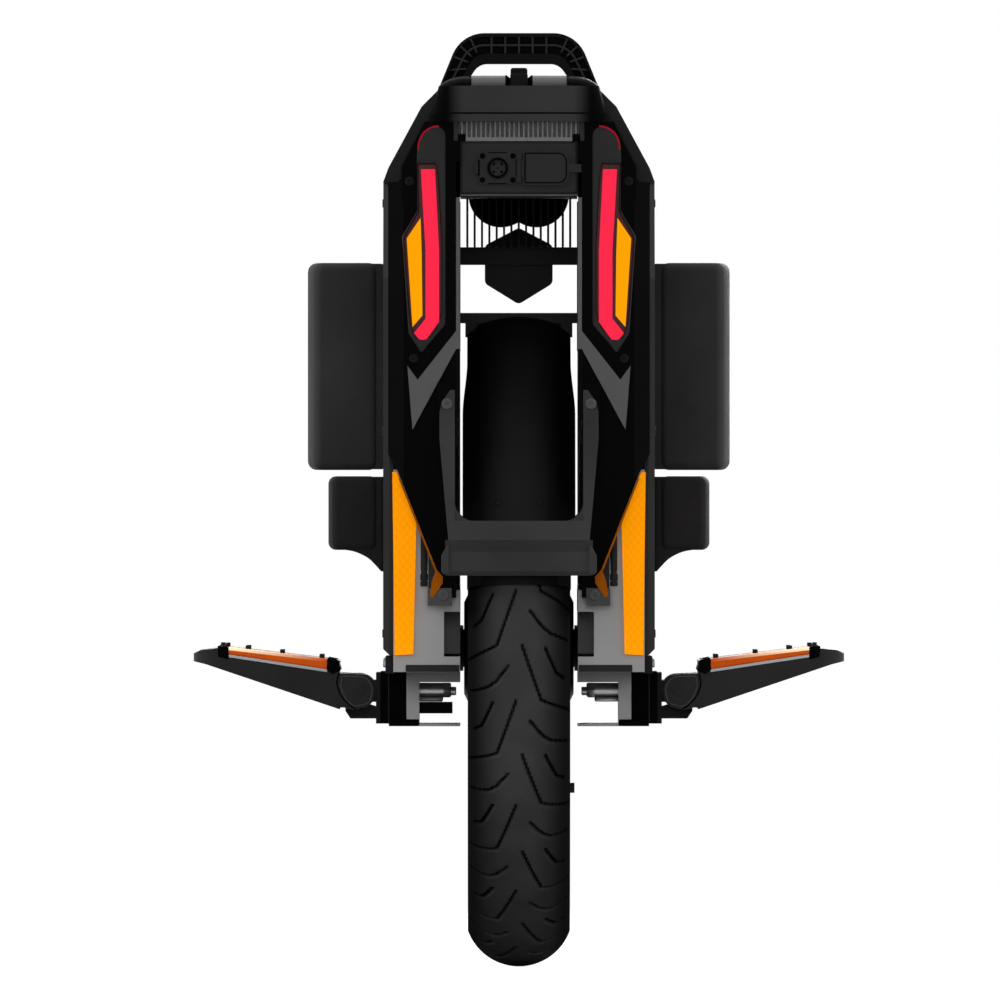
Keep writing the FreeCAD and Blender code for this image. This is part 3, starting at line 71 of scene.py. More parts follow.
def inset(outline, amount):
    """A closed run of points moved inward: each point slides along the mitre of its two edges' normals n and m, by
    amount * (n + m) / (1 + n.m)."""
    outline = np.asarray(outline, float)
    step = np.roll(outline, -1, axis=0) - outline
    step /= np.linalg.norm(step, axis=1, keepdims=True)
    turn = np.sum(outline[:, 0] * np.roll(outline[:, 1], -1) - np.roll(outline[:, 0], -1) * outline[:, 1])
    normal = np.stack([-step[:, 1], step[:, 0]], axis=1) * np.sign(turn)
    before = np.roll(normal, 1, axis=0)
    share = 1 + np.sum(normal * before, axis=1, keepdims=True)
    return outline + amount * (normal + before) / np.maximum(share, MITRE_LIMIT)


def round_off(corners, steps=7):
    """A polygon of (x, z, radius) corners with each corner turned into an arc of that radius."""
    spots = np.array([corner[:2] for corner in corners], float)
    count = len(spots)
    points = []
    for i, (_, _, radius) in enumerate(corners):
        if radius == 0:
            points.append(spots[i][None])
            continue
        back = spots[i - 1] - spots[i]
        ahead = spots[(i + 1) % count] - spots[i]
        back /= np.linalg.norm(back)
        ahead /= np.linalg.norm(ahead)
        half = math.acos(np.clip(back @ ahead, -1, 1)) / 2
        reach = radius / math.tan(half)
        middle = spots[i] + (back + ahead) / np.linalg.norm(back + ahead) * radius / math.sin(half)
        first, last = spots[i] + back * reach - middle, spots[i] + ahead * reach - middle
        sweep = math.pi - 2 * half
        share = np.linspace(0, 1, steps)[:, None]
        points.append(middle + (np.sin((1 - share) * sweep) * first + np.sin(share * sweep) * last) / math.sin(sweep))
    return np.concatenate(points)


def rectangle(left, foot, right, head, radius, steps=7):
    """A rectangle whose corners are arcs of one radius."""
    return round_off([(left, foot, radius), (right, foot, radius), (right, head, radius), (left, head, radius)], steps)


def resample(outline, count):
    """A closed run of points re-spaced evenly by length."""
    closed = np.concatenate([outline, outline[:1]])
    length = np.concatenate([[0], np.cumsum(np.linalg.norm(np.diff(closed, axis=0), axis=1))])
    at = np.linspace(0, length[-1], count, endpoint=False)
    return np.stack([np.interp(at, length, closed[:, k]) for k in range(closed.shape[1])], axis=1)


def at_y(outline, y):
    """An (x, z) outline stood up across the direction of travel at depth y."""
    y = np.broadcast_to(y, (len(outline),))
    return np.stack([outline[:, 0], y, outline[:, 1]], axis=1)


def slab(outline, one, other, edge):
    """An (x, z) outline carried along Y between two depths, its rims rounded by quarter circles of radius edge."""
    low, high = sorted((one, other))
    turn = np.linspace(0, math.pi / 2, ROUND_STEPS)
    rear = [at_y(inset(outline, edge * (1 - math.sin(a))), low + edge * (1 - math.cos(a))) for a in turn]
    fore = [at_y(inset(outline, edge * (1 - math.cos(a))), high - edge * (1 - math.sin(a))) for a in turn]
    return skin(rear + fore, wrap_columns=True, ends=True)


def cushion(outline, low, high, edge, crown):
    """An (x, z) outline carried along Y with wide round rims; both faces rise by crown * (1 - u^2) * (1 - v^2), where u
    and v run from -1 to 1 across and up the face. Rows between the rims let the sides be bent."""
    middle = (outline.min(axis=0) + outline.max(axis=0)) / 2
    half = (outline.max(axis=0) - outline.min(axis=0)) / 2 - edge
    turn = np.linspace(0, math.pi / 2, CUSHION_STEPS)
    rim = inset(outline, edge)

    def face(share):
        """A ring of the face, drawn in to a share of the rim, and its rise."""
        ring = middle + (rim - middle) * share
        u, v = np.clip((ring - middle) / half, -1, 1).T
        return ring, crown * (1 - u * u) * (1 - v * v)

    rings = [face(s) for s in np.linspace(0.03, 0.97, CUSHION_RINGS)]
    rear = [at_y(ring, low + crown - rise) for ring, rise in rings]
    rear += [at_y(inset(outline, edge * (1 - math.sin(a))), low + crown + edge * (1 - math.cos(a))) for a in turn]
    fore = [at_y(inset(outline, edge * (1 - math.cos(a))), high - crown - edge * (1 - math.sin(a))) for a in turn]
    fore += [at_y(ring, high - crown + rise) for ring, rise in rings[::-1]]
    belly = [at_y(outline, y) for y in np.linspace(low + crown + edge, high - crown - edge, BELLY_ROWS + 2)[1:-1]]
    return skin(rear + belly + fore, wrap_columns=True, ends=True)


def turned(profile, centre, axis, steps, hexagon_from=None, ends=True):
    """A profile of (along, radius) turned about an axis; from the ring of index hexagon_from on, the radius becomes
    that of a hexagon, radius * cos(30 deg) / cos(angle from the middle of its side)."""
    axis = np.array(axis, float) / np.linalg.norm(axis)
    aside = np.cross(axis, [0.0, 0.0, 1.0] if abs(axis[2]) < 0.9 else [1.0, 0.0, 0.0])
    aside /= np.linalg.norm(aside)
    up = np.cross(axis, aside)
    profile = np.array(profile, float)
    angle = np.linspace(0, 2 * math.pi, steps, endpoint=False)
    radius = np.repeat(profile[:, 1:2], steps, axis=1)
    if hexagon_from is not None:
        sector = math.pi / 3
        radius[hexagon_from:] *= (math.cos(sector / 2) / np.cos(np.mod(angle, sector) - sector / 2))[None]
    ring = np.cos(angle)[:, None] * aside + np.sin(angle)[:, None] * up
    grid = np.array(centre) + profile[:, 0, None, None] * axis + radius[..., None] * ring[None]
    return skin(grid, wrap_columns=True, ends=ends)


def swept(path, radius, steps, flat=1.0):
    """A round or flattened section carried along a path; radius may change along it."""
    path = np.array(path, float)
    tangent = np.gradient(path, axis=0)
    tangent /= np.linalg.norm(tangent, axis=1, keepdims=True)
    aside = np.cross(tangent, [0.0, 1.0, 0.0])
    aside /= np.maximum(np.linalg.norm(aside, axis=1, keepdims=True), 1e-9)
    other = np.cross(tangent, aside)
    angle = np.linspace(0, 2 * math.pi, steps, endpoint=False)
    radius = np.broadcast_to(radius, (len(path),))[:, None, None]
    ring = np.cos(angle)[None, :, None] * aside[:, None] + flat * np.sin(angle)[None, :, None] * other[:, None]
    return skin(path[:, None] + radius * ring, wrap_columns=True, ends=True)


def bend(points, count=24):
    """A smooth run through a few points: a Catmull-Rom curve sampled evenly in its parameter."""
    points = np.array(points, float)
    ends = np.concatenate([2 * points[:1] - points[1:2], points, 2 * points[-1:] - points[-2:-1]])
    t = np.linspace(0, len(points) - 1 - 1e-9, count)
    k = t.astype(int)
    f = (t - k)[:, None]
    a, b, c, d = ends[k], ends[k + 1], ends[k + 2], ends[k + 3]
    return 0.5 * (2 * b + (c - a) * f + (2 * a - 5 * b + 4 * c - d) * f ** 2 + (3 * b - a - 3 * c + d) * f ** 3)


def flipped(part):
    """A part mirrored across the middle plane."""
    points, faces = part
    return points * [-1, 1, 1], [face[::-1] for face in faces]


def both(*parts):
    """The parts and their mirror images."""
    return [*parts, *(flipped(part) for part in parts)]


def mirrored(place, ends=(1,)):
    """A place on both sides of the middle plane and, with two ends, also in front and behind: side, end and place."""
    return [(side, end, np.array(place, float) * (side, end, 1)) for side in SIDES for end in ends]


def box_part(one, other, edge=0.5):
    """A block between two opposite corners, with rounded rims."""
    (left, near, foot), (right, far, head) = np.sort([one, other], axis=0)
    return slab(rectangle(left, foot, right, head, edge, ROUND_STEPS), near, far, edge)


def blocks(one, other, edge=0.5, ends=(1,)):
    """A block on both sides of the middle plane and, with two ends, also in front and behind."""
    return [box_part(first, second, edge)
            for (*_, first), (*_, second) in zip(mirrored(one, ends), mirrored(other, ends))]


def piece(name, parts, body, material, replaces=(), angle=35, attribute=None):
    """One object from several parts, in metres at the origin, with its normals turned outward."""
    points, faces, shift = [], [], 0
    for part, part_faces in parts:
        points.append(part)
        faces += [[i + shift for i in face] for face in part_faces]
        shift += len(part)
    mesh = bpy.data.meshes.new(name)
    mesh.from_pydata((np.concatenate(points) * MM).tolist(), [], faces)
    if attribute is not None:
        mesh.attributes.new(attribute[0], "FLOAT", "POINT").data.foreach_set("value", attribute[1])
    work = bmesh.new()
    work.from_mesh(mesh)
    bmesh.ops.recalc_face_normals(work, faces=work.faces[:])
    work.to_mesh(mesh)
    work.free()
    mesh.shade_smooth()
    mesh.set_sharp_from_angle(angle=math.radians(angle))
    thing = bpy.data.objects.new(name, mesh)
    scene.collection.objects.link(thing)
    mesh.materials.append(material)
    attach(thing, body)
    if replaces:
        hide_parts(*replaces)
    return thing


# Finishes

NOISE_LOW, NOISE_HIGH = 0.3, 0.7
ROUGH_DRIFT = 0.07
LENS_ROUGH, LENS_SPECULAR, LENS_BASE = 0.3, 0.01, 0.12
# PRISM_GLOW is painted light: the reflector's prisms glow though a reflector is no lamp
PRISM_WIDE, PRISM_HIGH, PRISM_GLOW, MARKERS_BEHIND = 5.8, 7.4, 0.4, -215.0
# painted highlight: the cream colour and glow of the strip's upper edge, where it catches light
HIGHLIGHT_TINT, HIGHLIGHT_GLOW = (1.0, 0.80, 0.52), 0.4


def start(name):
    """A new node material with its shader."""
    material = bpy.data.materials.new(name)
    material.use_nodes = True
    return material, material.node_tree, material.node_tree.nodes["Principled BSDF"]


def texture(tree, scale, stretch=(1, 1, 1), detail=3.0):
    """Noise on object coordinates, at scale cells per metre."""
    coords = tree.nodes.new("ShaderNodeTexCoord")
    mapping = tree.nodes.new("ShaderNodeMapping")
    mapping.inputs["Scale"].default_value = stretch
    noise = tree.nodes.new("ShaderNodeTexNoise")
    noise.inputs["Scale"].default_value = scale
    noise.inputs["Detail"].default_value = detail
    tree.links.new(coords.outputs["Object"], mapping.inputs["Vector"])
    tree.links.new(mapping.outputs["Vector"], noise.inputs["Vector"])
    return noise.outputs["Fac"]


def between(tree, value, low, high):
    """Noise, most of which lies between NOISE_LOW and NOISE_HIGH, spread between two values."""
    spread = tree.nodes.new("ShaderNodeMapRange")
    spread.inputs["From Min"].default_value = NOISE_LOW
    spread.inputs["From Max"].default_value = NOISE_HIGH
    spread.inputs["To Min"].default_value = low
    spread.inputs["To Max"].default_value = high
    tree.links.new(value, spread.inputs["Value"])
    return spread.outputs["Result"]


def blend(tree, share, first, second):
    """A colour between two, by a share."""
    mix = tree.nodes.new("ShaderNodeMix")
    mix.data_type = "RGBA"
    tree.links.new(share, mix.inputs["Factor"])
    for socket, colour in (("A", first), ("B", second)):
        target = next(s for s in mix.inputs if s.name == socket and s.type == "RGBA")
        if isinstance(colour, tuple):
            target.default_value = (*colour, 1)
        else:
            tree.links.new(colour, target)
    return next(s for s in mix.outputs if s.type == "RGBA")


def raise_grain(tree, shader, height, depth):
    """Bump from a height, depth in millimetres."""
    bump = tree.nodes.new("ShaderNodeBump")
    bump.inputs["Distance"].default_value = depth * MM
    bump.inputs["Strength"].default_value = 1.0
    tree.links.new(height, bump.inputs["Height"])
    tree.links.new(bump.outputs["Normal"], shader.inputs["Normal"])


def scaled(colour, share):
    """A colour times a share."""
    return tuple(c * share for c in colour)


def math_node(tree, operation, first, second=None):
    """An operation on one or two values, each a number or another node's output."""
    node = tree.nodes.new("ShaderNodeMath")
    node.operation = operation
    for socket, value in zip(node.inputs, (first, second)):
        if value is None:
            continue
        if isinstance(value, (int, float)):
            socket.default_value = value
        else:
            tree.links.new(value, socket)
    return node.outputs[0]


def coordinates(tree):
    """The object coordinates X, Y and Z, in metres."""
    coords = tree.nodes.new("ShaderNodeTexCoord")
    split = tree.nodes.new("ShaderNodeSeparateXYZ")
    tree.links.new(coords.outputs["Object"], split.inputs[0])
    return split.outputs


def own_value(tree, name):
    """A value that the mesh carries at each of its points."""
    value = tree.nodes.new("ShaderNodeAttribute")
    value.attribute_name = name
    return value.outputs["Fac"]


def toward_sides(tree, near, far):
    """A smooth share from 0 at near millimetres from the middle plane to 1 at far."""
    across = tree.nodes.new("ShaderNodeMapRange")
    across.interpolation_type = "SMOOTHSTEP"
    across.inputs["From Min"].default_value = near * MM
    across.inputs["From Max"].default_value = far * MM
    tree.links.new(math_node(tree, "ABSOLUTE", coordinates(tree)["X"]), across.inputs["Value"])
    return across.outputs["Result"]


def surface(name, colour, rough, specular, grain=0.8, depth=0.05, tint=0.18, patch=70.0, metallic=0.0,
            stretch=(1, 1, 1), side_shade=None):
    """A moulded, painted or cast finish: colour and roughness drift over patches, and a fine grain is raised; the last
    argument (near, far, share) paints shade: it takes the colour down to a share of itself towards the sides."""
    material, tree, shader = start(name)
    drift = texture(tree, 1000 / patch, detail=4.0)
    tone = blend(tree, between(tree, drift, 0, 1), scaled(colour, 1 - tint), scaled(colour, 1 + tint))
    # painted shade: the colour is taken down towards the sides
    if side_shade:
        tone = blend(tree, toward_sides(tree, side_shade[0], side_shade[1]), tone, scaled(colour, side_shade[2]))
    tree.links.new(tone, shader.inputs["Base Color"])
    fine = texture(tree, 1000 / grain, stretch, detail=2.0)
    tree.links.new(between(tree, fine, rough - ROUGH_DRIFT, rough + ROUGH_DRIFT), shader.inputs["Roughness"])
    raise_grain(tree, shader, fine, depth)
    shader.inputs["Specular IOR Level"].default_value = specular
    shader.inputs["Metallic"].default_value = metallic
    return material


def glowing(name, colour, strength):
    """A lit lens: fine upright flutes over an even glow."""
    material, tree, shader = start(name)
    flutes = texture(tree, 900.0, (1, 1, 0.05), detail=1.0)
    tree.links.new(blend(tree, flutes, scaled(colour, LENS_BASE * 0.9), scaled(colour, LENS_BASE * 1.1)),
                   shader.inputs["Base Color"])
    raise_grain(tree, shader, flutes, 0.04)
    shader.inputs["Emission Color"].default_value = (*colour, 1)
    shader.inputs["Emission Strength"].default_value = strength
    shader.inputs["Roughness"].default_value = LENS_ROUGH
    shader.inputs["Specular IOR Level"].default_value = LENS_SPECULAR
    return material


def reflector_finish():
    """Prismatic reflector: crossing diagonal waves |sin(x + z)| * |sin(x - z)| make rows of small diamonds, which glow
    as painted light though a reflector is no lamp; the thin side markers, which lie further back, are painted darker as
    shade and do not glow."""
    material, tree, shader = start("reflector_prisms")
    spot = coordinates(tree)
    across = math_node(tree, "MULTIPLY", spot["X"], math.pi / (PRISM_WIDE * MM))
    along = math_node(tree, "MULTIPLY", spot["Z"], math.pi / (PRISM_HIGH * MM))
    waves = [math_node(tree, "ABSOLUTE", math_node(tree, "SINE", math_node(tree, kind, across, along)))
             for kind in ("ADD", "SUBTRACT")]
    cell = math_node(tree, "MULTIPLY", *waves)
    marker = math_node(tree, "LESS_THAN", spot["Y"], MARKERS_BEHIND * MM)
    prisms = blend(tree, cell, (0.95, 0.29, 0.001), (1.0, 0.345, 0.002))
    # painted shade: the side markers take a darker amber
    colour = blend(tree, marker, prisms, (0.34, 0.085, 0.003))
    tree.links.new(colour, shader.inputs["Base Color"])
    tree.links.new(colour, shader.inputs["Emission Color"])
    raise_grain(tree, shader, cell, 0.15)
    # painted light: the prisms glow and the markers do not
    tree.links.new(math_node(tree, "MULTIPLY", math_node(tree, "SUBTRACT", 1.0, marker), PRISM_GLOW),
                   shader.inputs["Emission Strength"])
    shader.inputs["Roughness"].default_value = LENS_ROUGH
    shader.inputs["Specular IOR Level"].default_value = LENS_SPECULAR
    return material


def tyre_finish():
    """Tread rubber: a dusty crown whose tone drifts at random, shoulders darkened towards the sides as painted shade,
    and grooves coloured near black as painted shade by the mesh's own attribute.
    """
    material, tree, shader = start("tread_rubber")
    dust = texture(tree, 28.0, detail=6.0)
    worn = blend(tree, between(tree, dust, 0, 1), (0.040, 0.040, 0.040), (0.056, 0.056, 0.056))
    # painted shade: towards the sides the shoulders darken to near black
    rubber = blend(tree, toward_sides(tree, 8, 37), worn, (0.006, 0.006, 0.006))
    # painted shade: the grooves are coloured near black for the shade inside them
    tone = blend(tree, own_value(tree, "groove"), rubber, (0.001, 0.001, 0.001))
    tree.links.new(tone, shader.inputs["Base Color"])
    lines = texture(tree, 700.0, (1, 0.03, 0.03), detail=2.0)
    tree.links.new(between(tree, dust, 0.5, 0.66), shader.inputs["Roughness"])
    raise_grain(tree, shader, lines, 0.06)
    shader.inputs["Specular IOR Level"].default_value = 0.0
    return material


def strip_finish():
    """Clear orange strip: a painted highlight, cream and faintly glowing, lights its upper part towards the outer end,
    by the mesh's own attribute.
    """
    material, tree, shader = start("strip_orange")
    painted_highlight = own_value(tree, "painted_highlight")
    drift = texture(tree, 40.0)
    orange = blend(tree, between(tree, drift, 0, 1), (0.66, 0.085, 0.003), (0.76, 0.105, 0.004))
    tree.links.new(blend(tree, painted_highlight, orange, HIGHLIGHT_TINT), shader.inputs["Base Color"])
    shader.inputs["Emission Color"].default_value = (*HIGHLIGHT_TINT, 1)
    tree.links.new(math_node(tree, "MULTIPLY", painted_highlight, HIGHLIGHT_GLOW), shader.inputs["Emission Strength"])
    raise_grain(tree, shader, texture(tree, 1200.0), 0.03)
    shader.inputs["Roughness"].default_value = 0.3
    shader.inputs["Specular IOR Level"].default_value = 0.06
    return material


def glass_finish():
    """Clear lamp glass with faint flutes."""
    material, tree, shader = start("lamp_glass")
    flutes = texture(tree, 300.0, (1, 1, 0.05), detail=1.0)
    tree.links.new(blend(tree, flutes, (0.90, 0.92, 0.94), (0.96, 0.97, 0.98)), shader.inputs["Base Color"])
    raise_grain(tree, shader, flutes, 0.1)
    shader.inputs["Transmission Weight"].default_value = 0.85
    shader.inputs["Roughness"].default_value = 0.06
    return material


# One finish for each slot. A surface has a colour, roughness, specular level, grain and its depth in mm, tint, patch in
# mm and metallic share
FINISHES = {
    "tyre_rubber": tyre_finish(),
    "hub_black": surface("hub_black", (0.006, 0.006, 0.0062), 0.42, 0.04, 0.6, 0.04),
    "steel": surface("steel", (0.36, 0.36, 0.37), 0.34, 0.5, 0.4, 0.02, 0.1, 30, 0.9, (1, 0.1, 1)),
    "valve_brass": surface("valve_brass", (0.010, 0.010, 0.010), 0.45, 0.15, 0.5, 0.02, 0.1, 20),
    "stator_iron": surface("stator_iron", (0.12, 0.12, 0.125), 0.5, 0.4, 0.7, 0.05, 0.2, 30, 0.8),
    "carriage_black": surface("carriage_black", (0.020, 0.020, 0.0205), 0.45, 0.05, 0.7, 0.05),
    "bush_plastic": surface("bush_plastic", (0.06, 0.06, 0.06), 0.5, 0.3),
    # painted shade: the mudguard darkens towards its sides
    "guard_black": surface("guard_black", (0.011, 0.011, 0.0112), 0.42, 0.02, 0.7, 0.03, side_shade=(4, 36, 0.12)),
    "frame_dark": surface("frame_dark", (0.036, 0.036, 0.0365), 0.5, 0.04, 0.8, 0.05),
    "pack_grey": surface("pack_grey", (0.05, 0.055, 0.06), 0.55, 0.3),
    "cover_black": surface("cover_black", (0.0008, 0.0008, 0.0009), 0.45, 0.02, 0.7, 0.04),
    "frame_grey": surface("frame_grey", (0.34, 0.34, 0.342), 0.5, 0.05, 0.9, 0.05, 0.06),
    "shoulder_grey": surface("shoulder_grey", (0.075, 0.075, 0.077), 0.5, 0.2, 0.8, 0.05, 0.1),
    "brake_red": glowing("brake_red", (1.0, 0.0232, 0.0704), 0.9),
    "indicator_amber": glowing("indicator_amber", (1.0, 0.376, 0.0012), 0.9),
    "reflector_amber": reflector_finish(),
    "box_dark": surface("box_dark", (0.024, 0.024, 0.0243), 0.5, 0.04, 0.7, 0.04, 0.1),
    # painted shade: the heat sink's fins darken beyond 46.2 mm from the middle plane, past the window's edges
    "sink_grey": surface("sink_grey", (0.135, 0.135, 0.137), 0.45, 0.15, 0.5, 0.03, 0.1, 40, 0.2,
                         side_shade=(46.1, 46.3, 0.15)),
    # painted shade: the deck darkens towards its curved side corners
    "deck_dark": surface("deck_dark", (0.038, 0.038, 0.0385), 0.5, 0.004, 0.9, 0.07, 0.1, side_shade=(41, 57, 0.05)),
    "trolley_black": surface("trolley_black", (0.006, 0.006, 0.0062), 0.4, 0.03, 0.7, 0.03),
    "grip_grey": surface("grip_grey", (0.13, 0.13, 0.131), 0.4, 0.15, 0.6, 0.03, 0.06),
    "socket_black": surface("socket_black", (0.022, 0.022, 0.0222), 0.45, 0.04, 0.6, 0.03, 0.1),
    "lamp_glass": glass_finish(),
    "pedal_black": surface("pedal_black", (0.021, 0.021, 0.0214), 0.45, 0.04, 1.1, 0.06),
    "inlay_orange": strip_finish(),
    "pad_black": surface("pad_black", (0.034, 0.034, 0.0343), 0.6, 0.015, 1.3, 0.12),
}

# Finishes of single pieces
SMOKED_RED = surface("smoked_red", (0.045, 0.006, 0.007), 0.25, 0.2, 0.8, 0.01)
GLOW_LINE = glowing("glow_line", (0.36, 0.008, 0.026), 0.7)
LINE_BLACK = surface("line_black", (0.0015, 0.0015, 0.0016), 0.5, 0.01, 0.5, 0.02, 0.1, 20)
# a dark grey for the side tubes, also used for painted shade strips at the frames' feet and painted highlights on edges
TUBE_AND_PAINTED_LIGHT_GREY = surface("tube_and_painted_light_grey", (0.022, 0.022, 0.0222), 0.5, 0.04, 0.6, 0.03, 0.1, 30)
# a grey for the foot lugs, also used for the painted highlight round the pedal end plates' rims
LUG_AND_HIGHLIGHT_GREY = surface("lug_and_highlight_grey", (0.07, 0.07, 0.071), 0.5, 0.05, 0.7, 0.04)
STUD_GREY = surface("stud_grey", (0.07, 0.07, 0.071), 0.4, 0.1, 0.5, 0.02, 0.1, 20)
BOWL_BRIGHT = surface("bowl_bright", (0.32, 0.32, 0.33), 0.22, 0.5, 0.6, 0.02, 0.05, 20, 1.0)
SOURCE_PALE = surface("source_pale", (0.70, 0.62, 0.30), 0.4, 0.3, 0.6, 0.02, 0.05, 20)
STRIP_PALE = surface("strip_pale", (0.42, 0.42, 0.43), 0.4, 0.3, 0.8, 0.02, 0.05)
SCREW_BLACK = surface("screw_black", (0.006, 0.006, 0.0062), 0.4, 0.04, 0.5, 0.02, 0.1, 20)
COVER_SATIN = surface("cover_satin", (0.010, 0.010, 0.0103), 0.42, 0.12, 0.8, 0.04)
WING_BLACK = surface("wing_black", (0.0016, 0.0016, 0.0017), 0.45, 0.01, 0.7, 0.03)
# painted shade: a darker copy of the pad foam for the calf pads
CALF_SHADED = surface("calf_pad_shaded", (0.015, 0.0142, 0.014), 0.6, 0.015, 1.3, 0.12)
SLIDER_GREY = surface("slider_grey", (0.13, 0.13, 0.131), 0.45, 0.08, 0.7, 0.05)

# Nodes whose finish differs from their slot's
NODE_FINISHES = {
    "axle": surface("axle_dark", (0.012, 0.012, 0.0122), 0.45, 0.1, 0.5, 0.02),
    "side_cover_left": COVER_SATIN,
    "side_cover_right": COVER_SATIN,
    "front_fairings": COVER_SATIN,
    "carry_handle": surface("handle_black", (0.006, 0.006, 0.0062), 0.5, 0.02, 0.9, 0.06, 0.1),
    "slider_left": SLIDER_GREY,
    "slider_right": SLIDER_GREY,
    "shoulders": surface("shoulder_dark", (0.016, 0.016, 0.0163), 0.5, 0.04, 0.8, 0.05, 0.1),
    "front_radiator": surface("radiator_dark", (0.012, 0.012, 0.0122), 0.5, 0.04, 0.5, 0.03, 0.1, 40),
    "hanger_brackets": surface("bracket_grey", (0.36, 0.36, 0.362), 0.5, 0.1, 0.8, 0.04, 0.06),
    "pedal_hangers": surface("hanger_black", (0.014, 0.014, 0.0143), 0.45, 0.03, 0.9, 0.05),
}

slot_of = {row["node"]: row["material_slot"] for row in frame["record"]["subparts"]}
for node, thing in nodes.items():
    thing.data.materials.clear()
    thing.data.materials.append(NODE_FINISHES.get(node, FINISHES[slot_of[node]]))


# Wheel. The tread's groove lines run through (across, along) places of one repeat

TYRE_RADIUS = 250.0
TREAD_HALF, TREAD_DROP = 40.0, 28.0
SIDEWALL = [(27, 189), (36.5, 196), (39.6, 208), (40, 222)]
TYRE_FOOT = [(27.0, 180.5), (0.0, 180.5), (-27.0, 180.5)]
TREAD = [[(2.3, 0.0), (17.2, -43.7), (32.0, -51.5), (38.5, -56.0)],
         [(20.3, -2.3), (29.0, -23.0), (34.5, -27.5)],
         [(8.6, -60.0), (18.0, -72.5), (24.0, -77.5), (36.5, -82.5)]]
TREAD_REPEATS, REPEAT_ROWS, TREAD_SHIFT = 18, 59, 3.0
GROOVE_HALF, GROOVE_WALL, GROOVE_DEPTH, GROOVE_LIMIT = 1.25, 0.7, 3.0, 218


def groove_depth(x, along, pitch):
    """1 inside a tread groove, falling to 0 at its edge: the least distance to the groove lines of one repeat,
    which the left half mirrors half a repeat later."""
    best = np.full(x.shape, np.inf)
    for side in SIDES:
        place = x * side
        turn = along + (0 if side > 0 else pitch / 2)
        for line in TREAD:
            for (x0, v0), (x1, v1) in zip(line[:-1], line[1:]):
                dx, dv = x1 - x0, v1 - v0
                away = np.mod(turn - (v0 + v1) / 2 + pitch / 2, pitch) - pitch / 2 + dv / 2
                share = np.clip(((place - x0) * dx + away * dv) / (dx * dx + dv * dv), 0, 1)
                best = np.minimum(best, np.hypot(place - x0 - share * dx, away - share * dv))
    return np.clip((GROOVE_HALF - best) / GROOVE_WALL, 0, 1)


def tyre():
    """The tyre's section, two sidewall bows and a crown of radius (w^2 + d^2) / 2d, turned about the axle; the crown
    sinks by the grooves' depth where the tread is cut."""
    crown = (TREAD_HALF ** 2 + TREAD_DROP ** 2) / (2 * TREAD_DROP)
    reach = math.asin(TREAD_HALF / crown)
    bow = np.linspace(-reach, reach, 75)
    tread = np.stack([crown * np.sin(bow), TYRE_RADIUS - crown + crown * np.cos(bow)], axis=1)
    wall = bend(SIDEWALL, 8)[:-1]
    section = np.concatenate([wall * [-1, 1], tread, wall[::-1], TYRE_FOOT])
    rows = TREAD_REPEATS * REPEAT_ROWS
    angle = np.linspace(0, 2 * math.pi, rows, endpoint=False)[:, None]
    across = np.broadcast_to(section[:, 0], (rows, len(section)))
    along = angle * TYRE_RADIUS - TREAD_SHIFT + np.zeros_like(across)
    sunk = groove_depth(across, along, 2 * math.pi * TYRE_RADIUS / TREAD_REPEATS) * (section[:, 1] > GROOVE_LIMIT)
    radius = section[:, 1] - GROOVE_DEPTH * sunk
    grid = np.stack([across, -radius * np.cos(angle), radius * np.sin(angle)], axis=-1) + AXLE
    # the groove share sinks the crown and, through the tread's finish, also paints shade into the grooves
    piece("tyre_tread", [skin(grid, wrap_rows=True, wrap_columns=True)], "wheel", FINISHES["tyre_rubber"],
          ["tyre"], 40, ("groove", sunk.reshape(-1).astype(np.float32)))


# Fasteners: places right of the middle plane

BACK, OUT, FORE = (0, -1, 0), (1, 0, 0), (0, 1, 0)
FAIRING_SCREWS = [(85.3, -226.0, 614.6), (82.0, -226.0, 476.5)]
COVER_SCREWS = [(106.0, -186.0, 262.0), (106.0, -186.0, 420.0), (106.0, -150.0, 598.0), (106.0, 30.0, 598.0),
                (106.0, 150.0, 590.0), (106.0, 186.0, 440.0)]
FOOT_LUG = (52.4, -227.4, 283.8), (71.2, -214.0, 297.6)
LUG_STUD, YOKE_STUD = (58.8, -227.4, 292.2), (56.0, -234.0, 441.2)
GUARD_SCREW = (16.0, -232.6, 364.0)
HANGER_BOLT, BOLT_END, BRACKET_SCREW = (78.0, 56.0, 217.0), (53.4, 56.0, 216.2), (104.4, 66.0, 238.6)
BOLT_TAB = (59.5, 51.0, 208.2), (78.0, 61.0, 211.6), 1.2
HINGE_CAP = (125.0, 62.0, 217.0)
MOTOR_SCREWS, MOTOR_FACE, MOTOR_CIRCLE = 12, 36.8, 150


def socket_screw(centre, axis, radius, high):
    """A round head with a bevelled rim and a six-sided recess."""
    profile = [(0, radius), (high * 0.7, radius), (high, radius * 0.85), (high, radius * 0.55),
               (high, radius * 0.52), (high * 0.35, radius * 0.5), (high * 0.3, radius * 0.05)]
    return turned(profile, centre, axis, 24, 4)


def pan_screw(centre, axis, radius, high):
    """A low domed head, radius * cos along the dome."""
    bow = np.linspace(0, math.pi / 2 * 0.94, 6)
    profile = [(0, radius)] + [(high * math.sin(a), radius * math.cos(a)) for a in bow]
    return turned(profile, centre, axis, 20)


def hex_bolt(centre, axis, shank, reach, head, high):
    """A round shank that ends in a six-sided head with a bevelled rim."""
    profile = [(0, shank), (reach, shank), (reach, head), (reach + high * 0.8, head), (reach + high, head * 0.86),
               (reach + high, head * 0.05)]
    return turned(profile, centre, axis, 48, 2)


def heads(places, way, radius, high, ends=(1,)):
    """Socket screws that point one way at the places, and their mirror images."""
    return [socket_screw(spot, np.multiply(way, (side, end, 1)), radius, high)
            for place in places for side, end, spot in mirrored(place, ends)]


